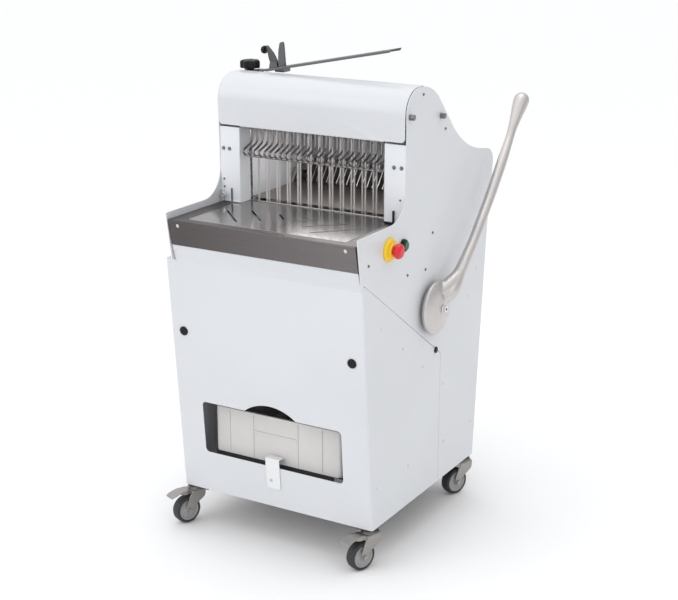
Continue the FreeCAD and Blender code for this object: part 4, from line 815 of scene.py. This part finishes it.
add("start_button_cap", me, M["green"], "start", "start_button", 40)

# black quarter-turn locks with a round recess in the head
lk = []
nrm = Vector((0, -1, -LEAN)).normalized()
for sx in (-1, 1):
    c = (sx * 265.5, -LEAN * (592 - 113), 592)
    lk.append(lathe("k", prof_round([(0, 0), (0, 13, 0.2), (2.6, 13, 1.4), (4.0, 9.5, 1.5), (4.0, 4.0, 0.4), (2.8, 3.2, 0.4), (2.8, 0)], 5), c, nrm, 48))
lk.append(lathe("k", prof_round([(307.5, 0), (307.5, 9, 0.2), (310.2, 9, 1.2), (311.5, 6.6, 1.0), (311.5, 3.0, 0.3), (310.5, 2.4, 0.3), (310.5, 0)], 5), (0, 354, 520.5), (1, 0, 0), 40))
add("cover_lock_heads", join(lk, "cover_lock_heads"), M["black"], "chassis", "cover_locks")

# ---------------------------------------------------------------- fasteners
def socket_head(c, axis, r, h):
    return lathe("q", prof_round([(0, 0), (0, r, 0.1), (h * 0.45, r, r * 0.35), (h, r * 0.55, r * 0.2), (h, r * 0.42, 0.1), (h * 0.35, r * 0.40, 0.1), (h * 0.35, 0)], 4), c, axis, 28)


ws, ds = [], []
for (y, z) in ((37, 669), (160, 581), (278, 494), (403, 405), (415.6, 226), (199, 228), (21, 229), (592, 227), (556, 626), (602, 697)):
    ws.append(socket_head((307.5, y, z), (1, 0, 0), 4.5, 2.0))
for (y, z) in ((254, 1246), (386, 1137), (321, 864), (179, 779), (283, 770), (-31, 854)):
    ds.append(socket_head((307.5, y, z), (1, 0, 0), 4.2, 2.5))
for (y, z) in ((181, 1197), (357, 1176)):
    ds.append(hex_prism(307.5, y, z, 8.0, 0, 14, (1, 0, 0), 0.8))
for (x, z) in ((-264.5, 1065), (-245, 1065), (269.6, 1065.5), (291.6, 1065.5)):
    ds.append(hex_prism(x, 168, z, 4.6, 0, 3.5, (0, -1, 0), 0.5))
    ds.append(lathe("w", prof_round([(0, 0), (0, 5.4, 0.1), (0.8, 5.4, 0.2), (0.8, 0)], 3), (x, 168, z), (0, -1, 0), 24))
for (x, z) in ((289.3, 981), (-264, 979), (-264, 957)):
    ds.append(socket_head((x, 168, z), (0, -1, 0), 3.0, 2.4))
na = Vector((0, -72, -15.5)).normalized()
fs = []
for x in (-241.5, 271.5):
    c = Vector((x, -86.5 + 15 * 15.5 / 72, 900))
    fs.append(lathe("q", prof_round([(0, 0), (0, 5.2, 0.1), (0.9, 5.2, 0.6), (2.4, 3.0, 1.6), (2.6, 0)], 5), c, na, 28))
add("side_screw_heads_white", join(ws, "side_screw_heads_white"), M["enamel"], "chassis", "panel_screws", 40)
add("screw_heads_steel", join(ds, "screw_heads_steel"), M["screw"], "chassis", None, 40)
add("apron_screw_heads", join(fs, "apron_screw_heads"), M["steel"], "chassis", None, 40)

# ---------------------------------------------------------------- crumb crate
def rr(x0, x1, y0, y1, r, n=6):
    out = []
    for px, py, a in ((x0 + r, y0 + r, 180), (x1 - r, y0 + r, 270), (x1 - r, y1 - r, 0), (x0 + r, y1 - r, 90)):
        for j in range(n + 1):
            t = math.radians(a + 90 * j / n)
            out.append((px + r * math.cos(t), py + r * math.sin(t)))
    return out


def ring_box(name, rings):
    """Skins a list of (outline, z) rings, closing the first and the last."""
    bm = bmesh.new()
    rs = [[bm.verts.new(V(x, y, z)) for x, y in ol] for ol, z in rings]
    for p, q in zip(rs, rs[1:]):
        k = len(p)
        for i in range(k):
            bm.faces.new((p[i], p[(i + 1) % k], q[(i + 1) % k], q[i]))
    bm.faces.new(list(reversed(rs[0])))
    bm.faces.new(rs[-1])
    return from_bm(bm, name)


cx, cy0, cy1 = 204.0, 14.0, 404.0
N6 = 6
crate = ring_box("crate", [
    (rr(-cx + 4, cx - 4, cy0 + 4, cy1 - 4, 8, N6), 237.0), (rr(-cx + 1, cx - 1, cy0 + 1, cy1 - 1, 9.4, N6), 238.0), (rr(-cx, cx, cy0, cy1, 10, N6), 241.0),
    (rr(-cx, cx, cy0, cy1, 10, N6), 370.2), (rr(-cx + 0.8, cx - 0.8, cy0 + 0.8, cy1 - 0.8, 9.2, N6), 371.0),
    (rr(-cx + 2.4, cx - 2.4, cy0 + 2.4, cy1 - 2.4, 7.6, N6), 371.0), (rr(-cx + 3, cx - 3, cy0 + 3, cy1 - 3, 7, N6), 370.2),
    (rr(-cx + 3, cx - 3, cy0 + 3, cy1 - 3, 7, N6), 243.0), (rr(-cx + 6, cx - 6, cy0 + 6, cy1 - 6, 5, N6), 240.0)])


def bar(x0, x1, y0, y1, z0, z1, r=0.7):
    """A moulded rib: a box with its edges broken."""
    bm = bmesh.new()
    bmesh.ops.create_cube(bm, size=1.0)
    for v in bm.verts:
        v.co = V(x0 + (v.co.x + 0.5) * (x1 - x0), y0 + (v.co.y + 0.5) * (y1 - y0), z0 + (v.co.z + 0.5) * (z1 - z0))
    bmesh.ops.bevel(bm, geom=bm.edges[:], offset=r * MM, segments=2, affect="EDGES", profile=0.6)
    return from_bm(bm, "bar")


cr = [crate]
for x in (-158, -79.5, 64.5, 141.5):
    cr.append(bar(x - 3, x + 3, cy0 - 2.2, cy0 + 1, 241, 367, 0.9))
cr.append(bar(-79.5, 64.5, cy0 - 2.2, cy0 + 1, 314.5, 320, 0.9))
cr.append(bar(-196, 196, cy0 - 2.2, cy0 + 1, 366.0, 370.6))
cr.append(bar(-196, 196, cy0 - 2.2, cy0 + 1, 237.4, 241.4))
for s in (-1, 1):
    for y in (110, 209, 308):
        cr.append(bar(min(s * 203.2, s * 206), max(s * 203.2, s * 206), y - 1.7, y + 1.7, 243, 369))
add("crumb_crate_moulded", join(cr, "crumb_crate_moulded"), M["crate"], "crate", "crumb_crate", 35)

# clip hung over the window's lower edge, with one screw
FY = lambda z: -LEAN * (z - 113)
kp = Path([(FY(169.5) - 2.8, 169.5), (FY(261.4) - 2.8, 261.4, 3.2), (11.6, 260.0)], -1.0)
clip_out = rounded([(0, -22.5, 8), (kp.length, -22.5, 1), (kp.length, 22.5, 1), (0, 22.5, 8)])
kc = [folded("clip", kp, clip_out, [circle(kp.u_at(FY(196) - 2.8, 196), -6.5, 2.5, 20)], 2, 0.7, yz)]
add("crate_clip_sheet", join(kc, "crate_clip_sheet"), M["clip"], "crate", "crate_clip")
me = socket_head((-6.5, FY(196) - 1.8, 196), nrm, 4.6, 3.6)
me.name = "crate_clip_screw"
add("crate_clip_screw", me, M["steel"], "crate")

# ---------------------------------------------------------------- hold-down comb, blades
paths = []
for i in range(26):
    x = XC + 17.0 * (i - 12.5)
    paths.append(bend3([(x, 211, 1205), (x, 211, 1082, 18), (x, 161, 1064, 5), (x, 177, 1050)], 8))
me = wires("hold_down_comb_rods", paths, 2.9, 5)
bar_me = wires("b", [[(XC - 225.5, 211, 1205), (XC + 225.5, 211, 1205)]], 5, 6)
bar2 = wires("b2", [[(XC - 215.5, 177, 1050), (XC + 215.5, 177, 1050)]], 3.3, 5)
add("hold_down_comb_rods", join([me, bar_me, bar2], "hold_down_comb_rods"), M["rod"], "comb", "hold_down_comb", 50, False)


def blade_mesh(bm, x, y0):
    """A thin blade with a scalloped, ground cutting edge towards -Y."""
    z0, z1 = 860.0, 1165.0
    n = 61
    rows = []
    for i in range(n + 1):
        z = z0 + (z1 - z0) * i / n
        e = y0 + 0.5 + 1.0 * (0.5 - 0.5 * math.cos(2 * math.pi * i / 2.0)) * 0.9 if False else y0 + 0.5 + (0.9 if i % 2 else 0.0)
        pts = [(0.0, e), (0.35, e + 1.6), (0.35, y0 + 9.3), (-0.35, y0 + 9.3), (-0.35, e + 1.6)]
        rows.append([bm.verts.new(V(x + a, b, z)) for a, b in pts])
    for p, q in zip(rows, rows[1:]):
        for k in range(5):
            bm.faces.new((p[k], p[(k + 1) % 5], q[(k + 1) % 5], q[k]))
    bm.faces.new(list(reversed(rows[0])))
    bm.faces.new(rows[-1])


for nm, ky, ids in (("front", 223, range(0, 25, 2)), ("rear", 237, range(1, 25, 2))):
    bm = bmesh.new()
    for i in ids:
        blade_mesh(bm, XC + 17 * (i - 12), ky)
    me = from_bm(bm, nm + "_blade_set")
    add(nm + "_blade_set", me, M["blade"], nm + "_knife", nm + "_blades", 30)

# ---------------------------------------------------------------- bagging tray, finger, knob
TX, TY = -260.0, 300.0
TH = math.radians(11.17)
TSX, TSZ = -238.0, 1265.0
TL = 441.0 / math.cos(TH)
FX, FZ = -180.0, 1287.0


def tray_place(p, n, v, dep):
    yy = p.x + n.x * dep
    zz = p.y + n.y * dep
    return V(TSX + math.cos(TH) * v - math.sin(TH) * zz, TY + yy, TSZ + math.sin(TH) * v + math.cos(TH) * zz)


bp = Path([(30, -7), (30, 0, 2.2), (-30, 0, 2.2), (-30, -7)], 1.0)
um = bp.length / 2
BL = bp.length
tray_out = rounded([(um - 17, 0, 3), (um + 17, 0, 3), (um + 17, 33.6, 2), (BL - 8.3, 33.6, 3), (BL - 8.3, 49, 0.6), (BL, 49, 2), (BL, TL - 6, 3), (BL - 9, TL, 4),
                    (9, TL, 4), (0, TL - 6, 3), (0, 49, 2), (8.3, 49, 0.6), (8.3, 33.6, 3), (um - 17, 33.6, 2)])
tm = [folded("blade", bp, tray_out, [circle(um, TL - 20, 3.0, 20)], 1.8, 0.5, tray_place)]
tong = [(TX + 17 * math.cos(math.pi * (0.5 + i / 20)), TY + 17 * math.sin(math.pi * (0.5 + i / 20))) for i in range(21)] + [(-218.5, TY - 17), (-218.5, TY + 17)]
tm.append(plate_fn("tongue", tong, [circle(TX, TY, 5.1, 28)], 4, 0.8, lambda x, y, d: V(x, y, 1265.5 - d)))
tm.append(bar(TSX - 2, TSX + 20, TY - 17, TY + 17, 1261.7, 1267.9, 1.0))
XZ = lambda y0: (lambda x, z, d: V(x, y0 - 4 + d, z))
lug = rounded([(-166.7, 1277.2), (-142.3, 1282), (-147.3, 1340, 8), (-150, 1349.5, 3), (-160.5, 1345.5, 4), (-164.5, 1325, 30)])
tm.append(plate_fn("lug", lug, [], 8, 1.6, XZ(TY)))
tm.append(bar(-168, -138, TY - 17, TY + 17, 1267.2, 1278.3, 1.2))
for ya in (-8.0, 4.6):
    q = rounded([(FX - 13, FZ - 13.5, 1), (FX + 15, FZ - 9.5, 1), (FX + 12, FZ + 5, 6), (FX - 10, FZ + 5, 6)])
    tm.append(plate_fn("ear", q, [], 3.4, 0.6, (lambda y0: (lambda x, z, d: V(x, y0 + d, z)))(TY + ya)))
tm.append(lathe("p", prof_round([(-9, 0), (-9, 2.5, 0.5), (9, 2.5, 0.5), (9, 0)], 3), (FX, TY, FZ), (0, 1, 0), 20))
add("bagging_tray_sheet", join(tm, "bagging_tray_sheet"), M["traysteel"], "tray", "bagging_tray", 35)

fin = rounded([(-190.5, 1284.5, 3), (-168, 1286, 5), (-170.5, 1298, 10), (-182, 1317, 30), (-197, 1332.5, 10), (-203, 1336.5, 2), (-206, 1333, 2), (-201, 1320, 10), (-196.5, 1301, 20)])
fm_ = [plate_fn("finger", fin, [circle(FX, FZ, 2.56, 16)], 8, 1.6, XZ(TY)),
       lathe("neck", [(0, 0), (0.2, 3), (11, 3.0), (13, 0)], (-210, TY, 1323.5), (1, 0, 0), 20)]
add("clamp_finger_plate", join(fm_, "clamp_finger_plate"), M["fingersteel"], "finger", "clamp_finger", 35)
ballp = [(-4.4, 0), (-4.4, 9.4), (-4.1, 10.2)] + [(11.2 * math.sin(math.radians(a_)), 11.2 * math.cos(math.radians(a_))) for a_ in range(-20, 90, 10)] + [(11.2, 0)]
me = lathe("clamp_finger_ball", ballp, (-211, TY, 1323.5), (-1, 0, 0), 36)
add("clamp_finger_ball", me, M["black"], "finger", None, 60)


def lobes(h, r, t):
    return r if r < 14 else r + 3.0 * math.cos(7 * t) * min(1.0, (r - 14) / 8)


kn = [lathe("star", prof_round([(1270, 5.1), (1270, 23.2, 1.0), (1272.6, 25.6, 2.5), (1289.5, 25.6, 3.5), (1292.8, 20, 3.5), (1294.0, 9, 3.0), (1292.6, 5, 1.0), (1292.6, 0)], 5), (TX, TY, 0), (0, 0, 1), 126, lobes),
      lathe("boss", prof_round([(1265.9, 5.1), (1265.9, 11, 0.6), (1271, 10.4), (1271, 5.1)], 4), (TX, TY, 0), (0, 0, 1), 48)]
add("star_knob_moulded", join(kn, "star_knob_moulded"), M["black"], "knob", "star_knob", 40)

# ---------------------------------------------------------------- small stops beside the opening
lm = [bar(-275, -263.5, 160.4, 168, 915.5, 948.6, 1.2), bar(-261.6, -212, 163.4, 168, 915.5, 919, 1.0),
      lathe("eye", prof_round([(0, 3.2), (0, 9, 0.8), (6, 9, 0.8), (6, 3.2, 0.4), (0, 3.2)], 4), (-262, 160, 935), (0, -1, 0), 36)]
add("left_stop_bracket", join(lm, "left_stop_bracket"), M["chrome"], "chassis", "side_stops", 30)
lm = [bar(-240, -237.6, 164.2, 168, 918.5, 954.6, 0.6), bar(243, 273, 162.2, 168, 915.5, 920.6, 1.0), bar(268.4, 273, 162.4, 168, 915.5, 951.6, 1.2)]
add("black_stop_bars", join(lm, "black_stop_bars"), M["black"], "chassis", None, 30)

# ---------------------------------------------------------------- castors
PH = math.radians(22.1)
DV = Vector((-math.sin(PH), -math.cos(PH), 0))
AV = Vector((math.cos(PH), -math.sin(PH), 0))
TRAIL = 33.0


def castor(corner, sx, sy, brake):
    def L(s, a, z):
        p = DV * s + AV * a
        return V(sx + p.x, sy + p.y, z)

    wc = (sx + DV.x * TRAIL, sy + DV.y * TRAIL, 40.0)
    # fork: one pressed sheet, folded over the top
    cp = Path([(20.4, 29), (20.4, 99, 4.5), (-20.4, 99, 4.5), (-20.4, 29)], 1.0)
    Lh = cp.length
    side = [(99 - 93, -22, 3), (99 - 76, -20, 14), (99 - 50, TRAIL - 13, 14), (99 - 33.2, TRAIL - 9.5, 9), (99 - 33.2, TRAIL + 9.5, 9), (99 - 60, 42, 16), (99 - 88, 27, 10)]
    h = Lh / 2 - 20.4 + 4.5 * (2 - math.pi / 2)

    def uz(z):
        return cp.u_at(20.4, z)
    left = [(uz(92), -21), (uz(74), -19, 16), (uz(50), TRAIL - 13, 16), (uz(33.2), TRAIL - 10, 8), (uz(33.2), TRAIL + 10, 8), (uz(56), 43, 16), (uz(84), 31, 14), (uz(92), 24)]
    right = [(Lh - q[0], q[1], *(q[2:])) for q in reversed(left)]
    outl = rounded([(Lh / 2, -22)] + left + [(Lh / 2, 24)] + right)
    ucen = Lh / 2
    # wheel side below the axle hole is trimmed by the outline itself
    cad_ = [folded("fork", cp, outl, [circle(uz(40), TRAIL, 4.2, 16), circle(Lh - uz(40), TRAIL, 4.2, 16)], 3, 0.9, lambda p, n, v, dep: L(v, p.x + n.x * dep, p.y + n.y * dep))]
    c0 = (sx, sy, 0)
    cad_.append(lathe("race", prof_round([(98.6, 0), (98.6, 22.5, 0.5), (100.4, 24.6, 0.8), (101.6, 24.6, 0.6), (101.9, 22.4, 0.3), (102.4, 22.4, 0.3), (102.7, 24.0, 0.6), (103.5, 23.2, 0.4), (103.5, 0)], 3), c0, (0, 0, 1), 48))
    for s in (1, -1):
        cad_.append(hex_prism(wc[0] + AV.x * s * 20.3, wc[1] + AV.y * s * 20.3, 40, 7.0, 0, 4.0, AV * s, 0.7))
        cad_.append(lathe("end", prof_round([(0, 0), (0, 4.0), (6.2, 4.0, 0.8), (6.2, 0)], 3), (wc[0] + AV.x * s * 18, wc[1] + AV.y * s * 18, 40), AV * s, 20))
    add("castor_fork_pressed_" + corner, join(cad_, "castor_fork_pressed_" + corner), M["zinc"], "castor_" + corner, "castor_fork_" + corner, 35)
    # rim: hub, web with a raised ring, and the seat of the tyre
    half = [(0, 5.2), (16.4, 5.2, 0.4), (16.4, 9.6, 0.8), (12.2, 11.5, 1.0), (11.0, 13.5, 1.0), (10.2, 24.0, 1.0), (12.8, 26.4, 1.0), (13.9, 29.0, 0.8), (13.9, 31.0, 0.2), (0, 31.0)]
    full = half + [(-h_, r_, *q) for h_, r_, *q in reversed(half[1:-1])] + [(0, 5.2)]
    me = lathe("wheel_rim_moulded_" + corner, prof_round(full, 4), wc, AV, 56)
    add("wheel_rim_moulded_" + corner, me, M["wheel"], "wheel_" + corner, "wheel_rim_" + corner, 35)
    ty = [(-14.4, 30.6), (-15.4, 31.4, 0.5), (-15.5, 35.2, 2), (-11.5, 39.2, 5), (0, 40.0, 40), (11.5, 39.2, 5), (15.5, 35.2, 2), (15.4, 31.4, 0.5), (14.4, 30.6), (-14.4, 30.6)]
    me = lathe("wheel_tyre_moulded_" + corner, prof_round(ty, 5), wc, AV, 72)
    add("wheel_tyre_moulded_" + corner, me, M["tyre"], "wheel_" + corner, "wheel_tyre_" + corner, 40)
    if brake:
        pp = Path([(28, 102.6), (58, 101.2, 20), (84, 93.6, 6), (90.2, 89.2)], -1.0)
        pw = rounded([(0, -15, 3), (24, -17.5, 8), (pp.length - 14, -19, 8), (pp.length, -16.5, 4), (pp.length, 16.5, 4), (pp.length - 14, 19, 8), (24, 17.5, 8), (0, 15, 3)])
        pm = [folded("pedal", pp, pw, [], 2.4, 0.8, lambda p, n, v, dep: L(p.x + n.x * dep, v, p.y + n.y * dep), [pp.length * k / 8 for k in range(1, 8)])]
        for a0, a1 in ((-14.4, -12.2), (12.2, 14.4)):
            q = rounded([(34.5, 101.5), (60, 99.8), (66, 96.5, 3), (48, 89.5, 8), (34.5, 88.2, 3)])
            pm.append(plate_fn("web", q, [], abs(a1 - a0), 0.4, (lambda a_: (lambda s_, z_, d_: L(s_, a_ + d_, z_)))(a0)))
        q = rounded([(34.6, 97, 1), (46, 96, 2), (44, 88.4, 3), (35, 88.2, 2)])
        pm.append(plate_fn("shoe", q, [], 24, 0.8, lambda s_, z_, d_: L(s_, -12 + d_, z_)))
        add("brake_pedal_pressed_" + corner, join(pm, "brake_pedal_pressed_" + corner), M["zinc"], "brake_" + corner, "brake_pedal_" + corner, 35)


castor("front_left", -287.8, 22.7, True)
castor("front_right", 287.8, 22.7, True)
castor("rear_left", -287.8, 590.8, False)
castor("rear_right", 287.8, 590.8, False)

# ---------------------------------------------------------------- floor, light, camera
WORLD = (0.80, 0.42, -0.16, -0.16)
fl = bpy.data.meshes.new("floor")
fl.from_pydata([(-30, -30, 0), (30, -30, 0), (30, 30, 0), (-30, 30, 0)], [], [(0, 1, 2, 3)])
floor = bpy.data.objects.new("floor", fl)
bpy.context.scene.collection.objects.link(floor)
fm, nt, b = new_mat("floor_pale")
b.inputs["Base Color"].default_value = (0.93, 0.93, 0.93, 1)
b.inputs["Roughness"].default_value = 0.85
b.inputs["Specular IOR Level"].default_value = 0.1
fl.materials.append(fm)

world = bpy.data.worlds.new("studio")
bpy.context.scene.world = world
world.use_nodes = True
wt = world.node_tree
bg = wt.nodes["Background"]
# a white studio: brightest overhead, a little dimmer on the machine's right and behind it
wc = wt.nodes.new("ShaderNodeTexCoord")
sep = wt.nodes.new("ShaderNodeSeparateXYZ")
wt.links.new(wc.outputs["Generated"], sep.inputs[0])


def lin(a_, src, k_):
    mu = wt.nodes.new("ShaderNodeMath")
    mu.operation = "MULTIPLY_ADD"
    wt.links.new(src, mu.inputs[0])
    mu.inputs[1].default_value = k_
    if isinstance(a_, float):
        mu.inputs[2].default_value = a_
    else:
        wt.links.new(a_, mu.inputs[2])
    return mu.outputs[0]


w = lin(WORLD[0], sep.outputs["Z"], WORLD[1])
w = lin(w, sep.outputs["X"], WORLD[2])
w = lin(w, sep.outputs["Y"], WORLD[3])
wt.links.new(w, bg.inputs["Strength"])
bg.inputs["Color"].default_value = (0.985, 0.99, 1.0, 1)


def area(name, loc, target, size, power, col=(1, 1, 1)):
    li = bpy.data.lights.new(name, "AREA")
    li.shape = "RECTANGLE"
    li.size, li.size_y = size
    li.energy = power
    li.color = col
    o = bpy.data.objects.new(name, li)
    bpy.context.scene.collection.objects.link(o)
    o.location = loc
    o.rotation_euler = (Vector(target) - Vector(loc)).to_track_quat("-Z", "Y").to_euler()
    return o


area("key", (-2.2, -3.4, 2.9), (0, 0, 0.7), (1.8, 2.6), 16)
area("fill", (3.4, -1.6, 2.2), (0, 0, 0.7), (0.7, 2.4), 5)
area("top", (0.2, 0.3, 3.6), (0, 0, 0.9), (2.0, 2.0), 12)
# a small soft light in the loading bay, so the blades read as in daylight
bay = V(XC, 372, 1086)
area("bay", tuple(bay), (bay.x, bay.y - 0.04, bay.z - 0.2), (0.42, 0.14), 0.92)

cam = bpy.data.cameras.new("camera")
cam.sensor_fit = "HORIZONTAL"
cam.sensor_width = 36
cam.lens = 36 * 1432.38 / 678
cam.clip_start = 0.05
cam.clip_end = 100
co = bpy.data.objects.new("camera", cam)
bpy.context.scene.collection.objects.link(co)
co.location = V(1990.5, -3035.4, 1815.2)
co.rotation_euler = (math.radians(90 - 16.94), 0, math.radians(30.48))
bpy.context.scene.camera = co
sc = bpy.context.scene
sc.view_settings.view_transform = "Standard"
sc.view_settings.look = "None"
